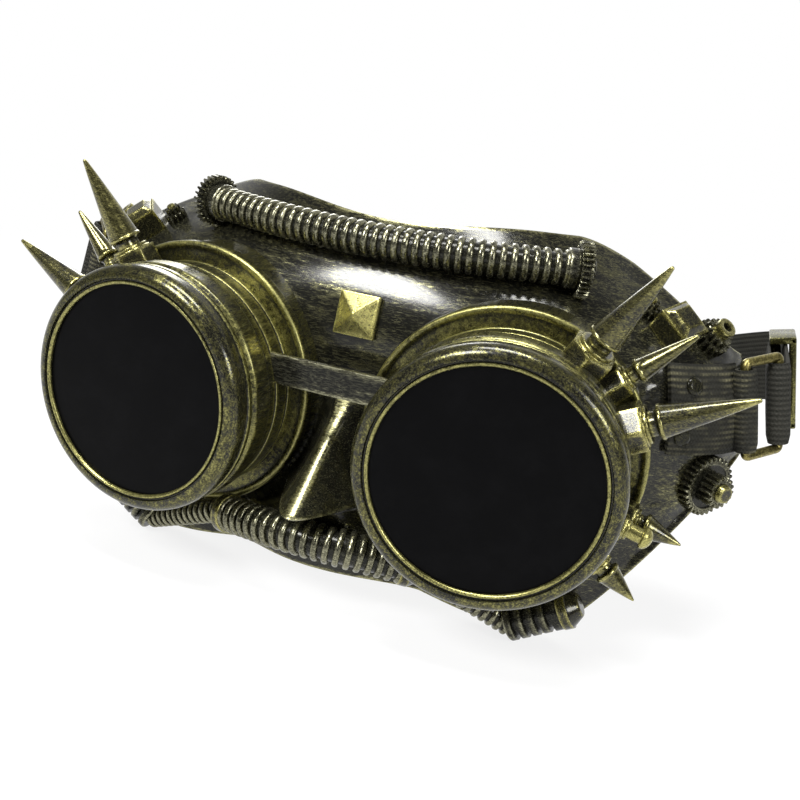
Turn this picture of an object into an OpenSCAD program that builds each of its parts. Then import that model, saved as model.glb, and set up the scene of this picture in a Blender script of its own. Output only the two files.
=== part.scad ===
// Steampunk goggles: a moulded half mask with two screw-ring eye cups, spikes,
// ribbed hoses, gears and an elastic head strap.
// Units are millimetres. X points to the viewer's right, Y from the front of
// the goggles towards the wearer, Z up. The origin is between the wearer's
// eyes, on the level of both cup axes. The right side is drawn and mirrored.

/* [Eye cups] */
// distance of each lens centre from the middle
cup_x = 43.1; // [40:0.5:46]
// distance of the lens rims in front of the origin
lens_front = 45; // [42:0.5:48]
// angle at which each cup turns outwards
cup_splay = 6; // [2:1:9]
// visible diameter of each lens
lens_diameter = 50; // [46:1:51]
// width of each screw ring round the visible lens
bezel_width = 4.5; // [4:0.1:5]
// pitch of the screw ring's thread
thread_pitch = 2; // [1:0.5:3]

/* [Mask] */
// half width of the mask at the temples
mask_half_width = 94.5; // [92:0.5:97]
// how far the temples run back behind the front of the mask
mask_depth = 42; // [38:1:44]
// wall thickness of the mask
mask_wall = 2; // [1.6:0.2:2.6]
// how far the nose stands out from the mask
nose_height = 27.5; // [22:0.5:29]

/* [Hoses] */
// outside diameter of the brow hose
brow_hose_diameter = 8.6; // [7.6:0.2:9]
// number of ribs on the brow hose
brow_hose_ribs = 38; // [24:1:44]
// outside diameter of the nose hose
nose_hose_diameter = 9.4; // [8.4:0.2:9.8]
// number of ribs on the nose hose
nose_hose_ribs = 19; // [12:1:24]

/* [Spikes] */
// length of the two large spikes of each cup
large_spike = 21; // [16:1:26]
// length of the small spike of each cup
small_spike = 14.5; // [11:0.5:18]
// length of the two thorns of each cup
thorn = 9; // [7:0.5:12]

/* [Strap] */
// width of the webbing
strap_width = 20; // [18:1:21]
// thickness of the webbing
strap_thick = 1.6; // [1.2:0.1:1.8]
// lean of the webbing towards the head at its upper edge, in degrees
strap_lean = 13; // [10:1:14]
// depth of the strap loop behind the slider
strap_loop = 55; // [50:1:70]

/* [Hidden] */
part_fn = 96;
small_fn = 40;
lens_r = lens_diameter / 2;
ring_r = lens_r + bezel_width;
glass_r = lens_r + 1.2;
glass_front = 1.1;
glass_thick = 2;
gasket_thick = 0.6;
neck_front = glass_front + glass_thick + gasket_thick;
neck_r = glass_r + 0.1;
run_gap = 0.06;
ring_depth = 8;
barrel_r = ring_r - 0.9;
step_depth = 14.4;
flange_front = 24.5;
flange_r = ring_r + 4;
collar_r = flange_r - 0.6;
collar_bore = barrel_r - 1.2;
bore_r = lens_r - 1;
shell_front = 27.5 - lens_front;
shell_cols = 17;
shell_rows = 24;
shell_edge = 0.985;
hose_sides = 14;
brow_hose_r = brow_hose_diameter / 2;
nose_hose_r = nose_hose_diameter / 2;
bar_r = 1.15;
// starts of the strap tabs, and the ornaments beside them
tab_x = cup_x + collar_r - 0.4;
temple_at = [tab_x + 3.9, 29.2];
temple_r = 4.6;
cheek_at = [mask_half_width - 8.5, -3.9];
cheek_r = 7.4;
block_at = [tab_x - 4.3, 30];
pinion_at = [tab_x - 11.4, 34];
brow_gear_r = 6.7;
nose_tip = -20.4;
ring_wide = 11;
ring_turn = 42;
tab_station = 0.955;
strap_mid = 14;

// Colours
dark_brass = [0.30, 0.27, 0.14];
bright_brass = [0.62, 0.53, 0.24];
blackened = [0.17, 0.16, 0.12];

// Small helpers
function clamp(v, lo, hi) = min(max(v, lo), hi);
function ease(t) = let(c = clamp(t, 0, 1)) c * c * (3 - 2 * c);
function unit(v) = v / norm(v);

// The mask's outer face, from a station (share of the half width) and a
// height. Plan: a blunt superellipse. Side: the forehead leans back, and the
// nose stands out between the two eye flanges.
function half_width(z) = mask_half_width - 0.0085 * pow(max(z, 0), 2);
function flange_gap(z) =
    let(c = cup_x - 27 * sin(cup_splay), r = flange_r + 0.3)
    min(c - sqrt(max(r * r - z * z, 0)), 26);
function nose_rise(z) = z > nose_tip
    ? nose_height * pow(clamp((4 - z) / (4 - nose_tip), 0, 1), 1.1)
    : 11 + (nose_height - 11) * ease((z + 2.6 - nose_tip) / 2.6);
function nose(x, z) =
    let(t = clamp(abs(x) / flange_gap(z), 0, 1))
    nose_rise(z) * pow(cos(90 * t), 1.3);
function forehead(x, z) =
    let(bend = min(max(z - 10, 0), 26), rest = max(z - 36, 0))
    (0.0015 * pow(bend, 2.6) + 0.72 * rest) * (1 + 1.2 * pow(min(abs(x), 58) / 58, 2));
function face(s, z) =
    let(x = s * half_width(z), t = min(abs(s), shell_edge))
    [x, shell_front + mask_depth * (1 - sqrt(1 - pow(t, 3.6)))
        + forehead(x, z) - nose(x, z), z];
function face_normal(s, z) =
    let(e = s > 0 ? -0.004 : 0.004,
        ds = (face(s + e, z) - face(s, z)) * sign(e),
        dz = face(s, z + 0.3) - face(s, z - 0.3))
    unit(cross(ds, dz));
function skin(s, z, off) = face(s, z) + off * face_normal(s, z);
function station(x, z) = x / half_width(z);

// The mask's outline: its lowest and highest point at each station
function mask_low(s) =
    let(a = abs(s) * mask_half_width) a < 58 ? -39 - 7 * ease(a / 50)
    : -46 + 48 * pow(clamp((a - 58) / 35, 0, 1), 1.2);
function mask_high(s) =
    let(a = abs(s) * mask_half_width) a < 55 ? 45 + 2.5 * ease(a / 45)
    : 47.5 - 22 * pow(clamp((a - 55) / 38, 0, 1), 1.6);
function shell_station(i) =
    let(t = pow(abs(i) / shell_cols, 1.25))
    sign(i) * shell_edge * sin(80 * t) / sin(80);

// A plate that follows the mask, from one offset off its face to another.
// lows and highs are its lower and upper edge at each station.
module face_plate(stations, lows, highs, rows, off_in, off_out) {
    n = len(stations);
    m = n * (rows + 1);
    pts = [for (off = [off_out, off_in]) for (j = [0:rows]) for (i = [0:n - 1])
        skin(stations[i], lows[i] + (highs[i] - lows[i]) * j / rows, off)];
    faces = [
        for (j = [0:rows - 1]) for (i = [0:n - 2]) let(a = j * n + i, b = a + n)
            each [[b, b + 1, a + 1], [b, a + 1, a],
                [m + a, m + a + 1, m + b + 1], [m + a, m + b + 1, m + b]],
        for (i = [0:n - 2]) let(t = rows * n + i)
            each [[i, i + 1, m + i + 1], [i, m + i + 1, m + i],
                [m + t, m + t + 1, t + 1], [m + t, t + 1, t]],
        for (j = [0:rows - 1]) let(a = j * n, b = a + n, r = n - 1)
            each [[m + a, m + b, b], [m + a, b, a],
                [a + r, b + r, m + b + r], [a + r, m + b + r, m + a + r]]];
    polyhedron(pts, faces, convexity = 8);
}

// Placing
module side(s) { if (s > 0) children(); else mirror([1, 0, 0]) children(); }
// in_cup: local Z points out of the cup, zero at the lens rim
module in_cup() {
    translate([cup_x, -lens_front, 0]) rotate([90, 0, cup_splay]) children();
}
// on_barrel: local Z points away from the cup's axis
module on_barrel(angle, depth, r, lean = 0) {
    in_cup() rotate([0, 0, angle]) translate([r, 0, -depth])
        rotate([0, 90 - lean, 0]) children();
}
module along(p, v) {
    translate(p) rotate([0, acos(v[2] / norm(v)), atan2(v[1], v[0])]) children();
}
module on_face(x, z, off = 0, turn = 0) {
    s = station(x, z);
    along(skin(s, z, off), face_normal(s, z)) rotate([0, 0, turn]) children();
}
module tube(r1, r2, h) {
    difference() {
        cylinder(r = r2, h = h);
        translate([0, 0, -1]) cylinder(r = r1, h = h + 2);
    }
}
module cone(r, h, tip = 0.5) { cylinder(r1 = r, r2 = tip, h = h); }
module hex(flats, h) { cylinder(d = flats / cos(30), h = h, $fn = 6); }
// a spur gear with straight-sided teeth
module gear(r, teeth, h, bore = 0, tooth = 1.1) {
    pitch = 360 / teeth;
    linear_extrude(h) difference() {
        union() {
            circle(r - tooth, $fn = small_fn);
            for (i = [0:teeth - 1]) rotate([0, 0, i * pitch])
                polygon([[0, -1], [r - tooth, -r * sin(pitch * 0.32)],
                    [r, -r * sin(pitch * 0.17)], [r, r * sin(pitch * 0.17)],
                    [r - tooth, r * sin(pitch * 0.32)], [0, 1]]);
        }
        if (bore > 0) circle(bore, $fn = small_fn);
    }
}

// Mask
module mask_shell() color(blackened) {
    st = [for (i = [-shell_cols:shell_cols]) shell_station(i)];
    difference() {
        face_plate(st, [for (s = st) mask_low(s)], [for (s = st) mask_high(s)],
            shell_rows, -mask_wall, 0);
        for (s = [-1, 1]) side(s) in_cup()
            translate([0, 0, -70]) cylinder(r = collar_r + 0.15, h = 60, $fn = part_fn);
    }
}
module eye_collar(s) color(dark_brass) side(s) in_cup() difference() {
    rotate_extrude($fn = part_fn) polygon([[collar_bore, -42], [collar_bore, -24.5],
        [flange_r - 1.8, -24.5], [flange_r - 1.3, -24], [flange_r - 0.4, -24],
        [flange_r, -24.5], [flange_r, -26.6], [flange_r - 0.6, -27.2], [collar_r, -42]]);
    translate([0, 0, -36.5]) rotate([-8.6, 0, 0]) translate([-2 * flange_r, -2 * flange_r, -40])
        cube([4 * flange_r, 4 * flange_r, 40]);
}
module bridge_bar() color(dark_brass) difference() {
    translate([-20, -30.4, 5.6]) cube([40, 1.6, 7.4]);
    for (s = [-1, 1]) side(s) in_cup() translate([0, 0, -24])
        cylinder(r = barrel_r - 0.5, h = 20, $fn = part_fn);
}
module brow_stud() color(bright_brass) on_face(0, 22.8, 0.1, 90) {
    translate([-5.2, -5.2, 0]) cube([10.4, 10.4, 1.2]);
    translate([0, 0, 1]) rotate([0, 0, 45])
        cylinder(d1 = 10 * sqrt(2), d2 = 0.4, h = 3.2, $fn = 4);
    translate([0, 0, -1.6]) cylinder(r = 2, h = 2, $fn = small_fn);
}

// Eye cups, as profiles of radius and height behind the lens rim
module barrel(s) color(dark_brass) side(s) in_cup() rotate_extrude($fn = part_fn)
    polygon([[bore_r, -33], [bore_r, -neck_front], [neck_r, -neck_front],
        [neck_r, -ring_depth - 0.1], [barrel_r - 0.3, -ring_depth - 0.1],
        [ring_r - 0.2, -ring_depth - 1], [ring_r, -step_depth + 0.6],
        [ring_r - 0.2, -step_depth], [barrel_r, -step_depth - 0.4],
        [barrel_r, -flange_front], [collar_bore - 0.15, -flange_front],
        [collar_bore - 0.15, -33]]);
module bezel_ring(s) color(dark_brass) side(s) in_cup() rotate_extrude($fn = part_fn)
    difference() {
        polygon([[lens_r, -glass_front + 0.1], [lens_r, -0.4], [lens_r + 0.4, 0],
            for (a = [0:15:90]) [ring_r - 3 + 3 * sin(a), -3 + 3 * cos(a)],
            [ring_r, -4.8], [ring_r - 0.6, -5.1], [ring_r - 0.6, -5.7],
            [ring_r - 0.1, -6], [ring_r - 0.9, -ring_depth],
            [neck_r + run_gap, -ring_depth], [neck_r + run_gap, -glass_front + 0.1]]);
    }
module lens(s) color([0.02, 0.02, 0.02]) side(s) in_cup()
    translate([0, 0, -glass_front - glass_thick])
        cylinder(r = glass_r, h = glass_thick, $fn = part_fn);
module lens_gasket(s) color([0.05, 0.05, 0.05]) side(s) in_cup()
    translate([0, 0, -neck_front + 0.05])
        tube(bore_r + 0.2, glass_r - 0.2, gasket_thick - 0.05, $fn = part_fn);

// Spikes and studs round each barrel: angle, depth, lean towards the front,
// flats of the base, height of the base
spike_a = [60, 18.4, 12, 10, 5];
spike_b = [43.5, 20.6, 0, 6.6, 5];
spike_c = [26, 17.4, 3, 10, 5];
thorn_d = [-14, 20, 8, 7, 4.6];
thorn_e = [-36, 18.5, 4, 7.4, 4.6];
cheek_bolt_at = [-13, 11.4, 6, 5.4, 2.6];
base_sink = 1;
module at_stud(p, up = 0) {
    on_barrel(p[0], p[1], barrel_r, p[2]) translate([0, 0, up - base_sink]) children();
}
module stud_bases(s) color(bright_brass) side(s)
    for (p = [spike_a, spike_b, spike_c, thorn_d, thorn_e, cheek_bolt_at]) at_stud(p) {
        hex(p[3], p[4] + base_sink);
        translate([0, 0, p[4] + base_sink]) cylinder(d = p[3] * 0.86, h = 0.7, $fn = small_fn);
    }
module spike(s, p, r, h) color(bright_brass) side(s)
    at_stud(p, p[4] + base_sink + 0.7) {
        cylinder(r = r * 0.72, h = 2, $fn = small_fn);
        translate([0, 0, 2]) cylinder(r = r, h = 0.8, $fn = small_fn);
        translate([0, 0, 2.8]) cone(r, h, $fn = small_fn);
    }
module thorns(s) color(dark_brass) side(s) for (p = [thorn_d, thorn_e])
    at_stud(p, p[4] + base_sink + 0.7) {
        cylinder(r = 2, h = 1.6, $fn = small_fn);
        translate([0, 0, 1.6]) cone(3, thorn, 0.3, $fn = small_fn);
    }
module cheek_bolt(s) color(bright_brass) side(s)
    at_stud(cheek_bolt_at, cheek_bolt_at[4] + base_sink + 0.7) {
        cylinder(r = 1.7, h = 3, $fn = small_fn);
        translate([0, 0, 3]) intersection() {
            cylinder(r = 2.5, h = 2.4, $fn = small_fn);
            sphere(r = 2.6, $fn = small_fn);
        }
    }
module block_stud(s) color(bright_brass) side(s) on_face(block_at[0], block_at[1], -0.8, 25) {
    translate([-4.5, -4, 0]) cube([9, 8, 6.5]);
    translate([0, 0, 6.2]) rotate([0, 0, 45])
        cylinder(d1 = 7.6 * sqrt(2), d2 = 5.6, h = 1.9, $fn = 4);
}

// Gears on the temples and cheeks
module brow_gear(s) color(dark_brass) side(s) brow_collar_line() {
    translate([0, 0, 2.6]) gear(brow_gear_r, 30, 2.8, tooth = 1);
    translate([0, 0, 5.2]) cylinder(r1 = 3.4, r2 = 2.6, h = 1.4, $fn = small_fn);
}
module temple_gear(s) color(dark_brass) side(s) on_face(temple_at[0], temple_at[1], -0.8)
    gear(temple_r, 16, 2.9, tooth = 0.9);
module temple_pinions(s) color(dark_brass) side(s) {
    on_face(temple_at[0], temple_at[1], 2.1) gear(3.6, 13, 2, tooth = 0.9);
    on_face(pinion_at[0], pinion_at[1], -0.8) gear(2.8, 11, 2.8, tooth = 0.8);
    on_face(pinion_at[0], pinion_at[1], 2) gear(2, 9, 1.6, tooth = 0.6);
}
module cheek_gear(s) color(dark_brass) side(s) on_face(cheek_at[0], cheek_at[1], -0.8)
    gear(cheek_r, 30, 2.8, tooth = 0.9);
module cheek_pinion(s) color(bright_brass) side(s) on_face(cheek_at[0], cheek_at[1], 2)
    gear(4, 16, 3.8, tooth = 0.8);
module gear_hubs(s) color(bright_brass) side(s) {
    on_face(temple_at[0], temple_at[1], 4.1) tube(1.2, 2.4, 2, $fn = small_fn);
    on_face(cheek_at[0], cheek_at[1], 5.8) cylinder(r1 = 2.4, r2 = 2, h = 1.4, $fn = small_fn);
    on_face(pinion_at[0], pinion_at[1], 3.6) cylinder(r = 1.1, h = 0.8, $fn = small_fn);
}

// Hoses. A path is a function of x that runs straight at both ends.
brow_level = 38;
brow_straight = 37;
brow_end = cup_x + 0.8;
function brow_on_face(x) = skin(station(x, brow_level), brow_level, brow_hose_r + 0.15);
function brow_slope() = unit(brow_on_face(brow_straight) - brow_on_face(brow_straight - 1));
function brow_path(x) = let(a = abs(x), p = a < brow_straight ? brow_on_face(a)
    : brow_on_face(brow_straight) + brow_slope() * (a - brow_straight) / brow_slope()[0])
    [sign(x) * p[0], p[1], p[2]];
nose_straight = 14.5;
nose_end = 23;
function nose_bow(x) = [x, 11.5 - lens_front + 7.5 * pow(x / 23, 2),
    nose_tip - 8.9 - 3.2 * pow(x / 23, 2)];
function nose_slope() = unit(nose_bow(nose_straight) - nose_bow(nose_straight - 1));
function nose_path(x) = let(a = abs(x), p = a < nose_straight ? nose_bow(a)
    : nose_bow(nose_straight) + nose_slope() * (a - nose_straight) / nose_slope()[0])
    [sign(x) * p[0], p[1], p[2]];
function ring_points(c, t, r) =
    let(u = unit(cross(t, [0, 0, 1])), v = cross(u, t))
    [for (k = [0:hose_sides - 1]) let(a = 360 * k / hose_sides)
        c + r * (cos(a) * u + sin(a) * v)];
// a ribbed hose with a bore, through a list of centres
module ribbed_hose(centres, crest, root, bore) {
    n = len(centres);
    dirs = [for (i = [0:n - 1]) unit(centres[min(i + 1, n - 1)] - centres[max(i - 1, 0)])];
    outer = [for (i = [0:n - 1]) ring_points(centres[i], dirs[i], i % 2 == 0 ? root : crest)];
    inner = [for (i = [n - 1:-2:0]) ring_points(centres[i], dirs[i], bore)];
    rings = concat(outer, inner);
    m = len(rings);
    polyhedron([for (r = rings) each r],
        [for (i = [0:m - 1]) for (k = [0:hose_sides - 1])
            let(a = i * hose_sides + k, b = i * hose_sides + (k + 1) % hose_sides,
                j = ((i + 1) % m) * hose_sides, c = j + (k + 1) % hose_sides, d = j + k)
            each [[a, b, c], [a, c, d]]], convexity = 10);
}
module top_hose() color(dark_brass) ribbed_hose(
    [for (i = [0:2 * brow_hose_ribs]) brow_path(brow_end * (i / brow_hose_ribs - 1))],
    brow_hose_r, brow_hose_r - 0.75, brow_hose_r - 1.7);
module lower_hose() color(dark_brass) ribbed_hose(
    [for (i = [0:2 * nose_hose_ribs]) nose_path(nose_end * (i / nose_hose_ribs - 1))],
    nose_hose_r, nose_hose_r - 0.85, nose_hose_r - 1.8);
// local Z runs on along the hose from its right-hand end
module brow_collar_line() { along(brow_path(brow_end), brow_slope()) children(); }
module nose_collar_line() { along(nose_path(nose_end), nose_slope()) children(); }
module brow_collar(s) color(dark_brass) side(s) brow_collar_line() {
    cylinder(r = brow_hose_r + 0.5, h = 2.6, $fn = small_fn);
}
module nose_collar(s) color(bright_brass) side(s) nose_collar_line() {
    cylinder(r = nose_hose_r + 0.3, h = 2.6, $fn = small_fn);
    translate([0, 0, 2.6]) cylinder(r1 = nose_hose_r, r2 = 3.2, h = 2.4, $fn = small_fn);
}

// Vent at each end of the nose hose
vent_from = [49.5, 25 - 45, -42.6];
vent_to = [66.5, 26.5 - 45, -32.8];
vent_r = 4.6;
module vent(s) color(dark_brass) side(s) {
    neck = nose_path(nose_end) + nose_slope() * 5;
    along(neck, vent_from - neck) {
        cylinder(r = 2.6, h = norm(vent_from - neck), $fn = small_fn);
        for (i = [1:7]) translate([0, 0, 2.2 * i]) cylinder(r = 3.2, h = 1.1, $fn = small_fn);
    }
    along(vent_from, vent_to - vent_from) difference() {
        cylinder(r = vent_r, h = 13.4, $fn = small_fn);
        for (i = [0:3]) translate([-8, -6, 1.8 + 2.8 * i]) rotate([0, 12, 0])
            cube([16, 3.4, 1.3]);
    }
}
module vent_cap(s) color(bright_brass) side(s) along(vent_from, vent_to - vent_from)
    translate([0, 0, 13.4]) {
        cylinder(r = vent_r + 0.3, h = 2.4, $fn = small_fn);
        translate([0, 0, 2.4]) cylinder(r1 = vent_r, r2 = 2.6, h = 2.8, $fn = small_fn);
    }

// Strap tab, ring, webbing and slider
lean_x = tan(strap_lean);
bar_at = skin(tab_station, strap_mid, 0.2 + strap_thick + bar_r + 0.1);
loop_at = bar_at + ring_wide * [sin(ring_turn) * cos(strap_lean), cos(ring_turn),
    sin(ring_turn) * sin(strap_lean)];
// local Z runs up the leaning bars, zero at the middle of the webbing
module leaning(p) { translate(p) rotate([0, -strap_lean, 0]) children(); }
module strap_tab(s) color([0.12, 0.12, 0.11]) side(s) {
    from = tab_x / mask_half_width;
    st = [for (i = [0:9]) from + (tab_station - from) * i / 9];
    half = strap_width / 2;
    face_plate(st, [for (a = st) strap_mid - half], [for (a = st) strap_mid + half],
        4, 0.2, 0.2 + strap_thick);
    leaning(bar_at) translate([0, 0, -half])
        tube(bar_r + 0.1, bar_r + 0.1 + strap_thick, strap_width, $fn = small_fn);
}
module tab_rivets(s) color(bright_brass) side(s) for (z = [-5.5, 5.5])
    on_face(tab_x + 2.2, strap_mid + z, -mask_wall - 0.4) {
        cylinder(r = 1.2, h = mask_wall + strap_thick + 0.8, $fn = small_fn);
        translate([0, 0, mask_wall + strap_thick + 0.6])
            cylinder(r1 = 2.2, r2 = 1.4, h = 0.8, $fn = small_fn);
    }
module strap_ring(s) color(bright_brass) side(s) leaning(bar_at)
    rotate([0, 0, 90 - ring_turn]) {
        half = strap_width / 2 + 1.4;
        for (x = [0, ring_wide]) translate([x, 0, -half])
            cylinder(r = bar_r, h = 2 * half, $fn = small_fn);
        for (z = [-half, half]) translate([0, 0, z]) {
            rotate([0, 90, 0]) cylinder(r = bar_r, h = ring_wide, $fn = small_fn);
            for (x = [0, ring_wide]) translate([x, 0, 0]) sphere(r = bar_r, $fn = small_fn);
        }
    }

// The webbing is a flat band. Each section of it is [centre, across the
// thickness, up the width]. It runs round the ring's outer bar, straight back
// past the slider, then round the head while it drops.
layer = bar_r + 0.1 + strap_thick / 2;
slider_at = loop_at[1] + 28;
straight_to = slider_at + 12;
strap_drop = 17;
fold_bar = 0.6;
fold_x = -layer + strap_thick / 2 + fold_bar + 0.05;
sewn = 26;
up = [-sin(strap_lean), 0, cos(strap_lean)];
out = [cos(strap_lean), 0, sin(strap_lean)];
back = [0, 1, 0];
function turn_section(c, a) = let(w = cos(a) * out + sin(a) * back) [c + layer * w, w, up];
function head_curve(a) = [loop_at[0] * cos(a) * (1 - 0.19 * pow(sin(2 * a), 2)), straight_to + strap_loop * sin(a),
    loop_at[2] - strap_drop * ease(a / 45)];
function head_section(a) =
    let(d = unit(head_curve(a + 0.5) - head_curve(a - 0.5)), n = unit([d[1], -d[0], 0]),
        w = unit(cross(d, [-n[0] * sin(strap_lean), -n[1] * sin(strap_lean), cos(strap_lean)])))
    [head_curve(a) + layer * w, w, cross(w, d)];
function mirrored(q) = [for (v = q) [-v[0], v[1], v[2]]];
function reversed(l) = [for (i = [len(l) - 1:-1:0]) l[i]];
ring_turn_sections = [for (a = [180:15:360]) turn_section(loop_at, a)];
straight_sections = [for (y = [12:8:straight_to - loop_at[1]]) turn_section(loop_at + [0, y, 0], 360)];
head_sections = [for (a = [4:6:88]) head_section(a)];
function sewn_section(y) = let(x = -layer + (2 * layer - strap_thick - 0.1) * ease(y / 10))
    [loop_at + x * out + [0, y, 0], -out, up];
half_strap = concat(ring_turn_sections, straight_sections, head_sections);
module band(sections) {
    h = strap_width / 2;
    t = strap_thick / 2;
    n = len(sections);
    polyhedron([for (q = sections) for (c = [[1, 1], [1, -1], [-1, -1], [-1, 1]])
            q[0] + c[0] * t * q[1] + c[1] * h * q[2]],
        [for (i = [0:n - 2]) for (k = [0:3])
            let(a = 4 * i + k, b = 4 * i + (k + 1) % 4) each [[a, a + 4, b + 4], [a, b + 4, b]],
            [0, 1, 2], [0, 2, 3],
            [4 * n - 2, 4 * n - 3, 4 * n - 4], [4 * n - 1, 4 * n - 2, 4 * n - 4]], convexity = 6);
}
module strap() color([0.09, 0.09, 0.08])
    band(concat(half_strap, [for (q = reversed(half_strap)) mirrored(q)],
        [for (y = [3:4:sewn]) mirrored(sewn_section(y))]));
module strap_return() color([0.09, 0.09, 0.08]) leaning(loop_at)
    translate([-layer - strap_thick / 2, 0, -strap_width / 2])
        cube([strap_thick, slider_at - loop_at[1] - 6, strap_width]);
module strap_end() color([0.09, 0.09, 0.08]) leaning([loop_at[0], slider_at, loop_at[2]])
    translate([0, 0, -strap_width / 2]) linear_extrude(strap_width) {
        translate([-layer - strap_thick / 2, -6]) square([strap_thick, 6]);
        translate([fold_x, 0]) difference() {
            circle(fold_bar + 1.05, $fn = small_fn);
            circle(fold_bar + 0.05, $fn = small_fn);
        }
    }
module slider() color([0.13, 0.12, 0.09]) leaning([loop_at[0], slider_at, loop_at[2]]) {
    half = strap_width / 2;
    outside = layer + strap_thick / 2 + 0.3;
    for (z = [-half - 2.2, half + 0.4]) translate([-1.9, -7, z])
        cube([outside + 3.4, 14, 1.8]);
    for (y = [-7, 5.4]) translate([outside, y, -half - 2.2]) cube([1.5, 1.6, 2 * half + 4.4]);
    translate([fold_x, 0, -half - 2.2])
        cylinder(r = fold_bar, h = 2 * half + 4.4, $fn = small_fn);
}

// The nodes
module right_eye_collar() eye_collar(1);
module left_eye_collar() eye_collar(-1);
module right_barrel() barrel(1);
module left_barrel() barrel(-1);
module right_bezel_ring() bezel_ring(1);
module left_bezel_ring() bezel_ring(-1);
module right_lens() lens(1);
module left_lens() lens(-1);
module right_lens_gasket() lens_gasket(1);
module left_lens_gasket() lens_gasket(-1);
module right_stud_bases() stud_bases(1);
module left_stud_bases() stud_bases(-1);
module right_spike_a() spike(1, spike_a, 4, large_spike);
module left_spike_a() spike(-1, spike_a, 4, large_spike);
module right_spike_b() spike(1, spike_b, 2.8, small_spike);
module left_spike_b() spike(-1, spike_b, 2.8, small_spike);
module right_spike_c() spike(1, spike_c, 4, large_spike);
module left_spike_c() spike(-1, spike_c, 4, large_spike);
module right_thorns() thorns(1);
module left_thorns() thorns(-1);
module right_cheek_bolt() cheek_bolt(1);
module left_cheek_bolt() cheek_bolt(-1);
module right_block_stud() block_stud(1);
module left_block_stud() block_stud(-1);
module right_brow_gear() brow_gear(1);
module left_brow_gear() brow_gear(-1);
module right_temple_gear() temple_gear(1);
module left_temple_gear() temple_gear(-1);
module right_temple_pinions() temple_pinions(1);
module left_temple_pinions() temple_pinions(-1);
module right_cheek_gear() cheek_gear(1);
module left_cheek_gear() cheek_gear(-1);
module right_cheek_pinion() cheek_pinion(1);
module left_cheek_pinion() cheek_pinion(-1);
module right_gear_hubs() gear_hubs(1);
module left_gear_hubs() gear_hubs(-1);
module right_vent() vent(1);
module left_vent() vent(-1);
module right_vent_cap() vent_cap(1);
module left_vent_cap() vent_cap(-1);
module right_brow_collar() brow_collar(1);
module left_brow_collar() brow_collar(-1);
module right_nose_collar() nose_collar(1);
module left_nose_collar() nose_collar(-1);
module right_strap_tab() strap_tab(1);
module left_strap_tab() strap_tab(-1);
module right_tab_rivets() tab_rivets(1);
module left_tab_rivets() tab_rivets(-1);
module right_strap_ring() strap_ring(1);
module left_strap_ring() strap_ring(-1);
mask_shell();
bridge_bar();
brow_stud();
top_hose();
lower_hose();
strap();
strap_return();
strap_end();
slider();
right_eye_collar();
left_eye_collar();
right_barrel();
left_barrel();
right_bezel_ring();
left_bezel_ring();
right_lens();
left_lens();
right_lens_gasket();
left_lens_gasket();
right_stud_bases();
left_stud_bases();
right_spike_a();
left_spike_a();
right_spike_b();
left_spike_b();
right_spike_c();
left_spike_c();
right_thorns();
left_thorns();
right_cheek_bolt();
left_cheek_bolt();
right_block_stud();
left_block_stud();
right_brow_gear();
left_brow_gear();
right_temple_gear();
left_temple_gear();
right_temple_pinions();
left_temple_pinions();
right_cheek_gear();
left_cheek_gear();
right_cheek_pinion();
left_cheek_pinion();
right_gear_hubs();
left_gear_hubs();
right_vent();
left_vent();
right_vent_cap();
left_vent_cap();
right_brow_collar();
left_brow_collar();
right_nose_collar();
left_nose_collar();
right_strap_tab();
left_strap_tab();
right_tab_rivets();
left_tab_rivets();
right_strap_ring();
left_strap_ring();
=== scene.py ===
"""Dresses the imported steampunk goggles: detailed pieces, finishes and a studio."""
import math
from functools import cache

import bmesh
import bpy
import numpy as np
from mathutils import Matrix, Vector, noise


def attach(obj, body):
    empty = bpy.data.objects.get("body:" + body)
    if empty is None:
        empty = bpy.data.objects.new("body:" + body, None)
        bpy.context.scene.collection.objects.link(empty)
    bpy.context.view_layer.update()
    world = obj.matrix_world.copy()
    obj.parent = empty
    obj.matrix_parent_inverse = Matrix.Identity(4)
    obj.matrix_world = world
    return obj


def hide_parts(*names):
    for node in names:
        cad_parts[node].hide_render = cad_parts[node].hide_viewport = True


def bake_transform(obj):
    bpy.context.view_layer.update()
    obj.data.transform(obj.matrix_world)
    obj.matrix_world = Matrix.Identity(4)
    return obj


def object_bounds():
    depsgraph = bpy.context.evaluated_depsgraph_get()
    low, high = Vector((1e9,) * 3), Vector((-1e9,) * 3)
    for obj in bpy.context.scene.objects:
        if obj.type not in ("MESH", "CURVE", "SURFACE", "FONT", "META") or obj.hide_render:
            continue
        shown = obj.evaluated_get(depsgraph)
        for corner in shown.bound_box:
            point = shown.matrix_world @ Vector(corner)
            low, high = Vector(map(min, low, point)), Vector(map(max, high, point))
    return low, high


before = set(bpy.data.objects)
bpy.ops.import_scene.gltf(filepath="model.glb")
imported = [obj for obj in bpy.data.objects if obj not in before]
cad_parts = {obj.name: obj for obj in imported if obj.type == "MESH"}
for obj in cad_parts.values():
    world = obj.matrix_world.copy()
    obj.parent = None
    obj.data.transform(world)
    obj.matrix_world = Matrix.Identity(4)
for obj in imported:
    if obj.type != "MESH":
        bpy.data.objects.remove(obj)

bl_info = {
    "name": "Steampunk goggles",
    "version": (1, 0, 0),
    "blender": (4, 5, 0),
    "location": "View3D > Sidebar > Goggles",
    "description": "Builds the detailed pieces and finishes of a pair of steampunk goggles",
    "category": "Object",
}

MM = 0.001
CAD_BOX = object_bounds()
SIDES = (("right", 1), ("left", -1))
SQUARE = ((-1, -1), (1, -1), (1, 1), (-1, 1))

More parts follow.
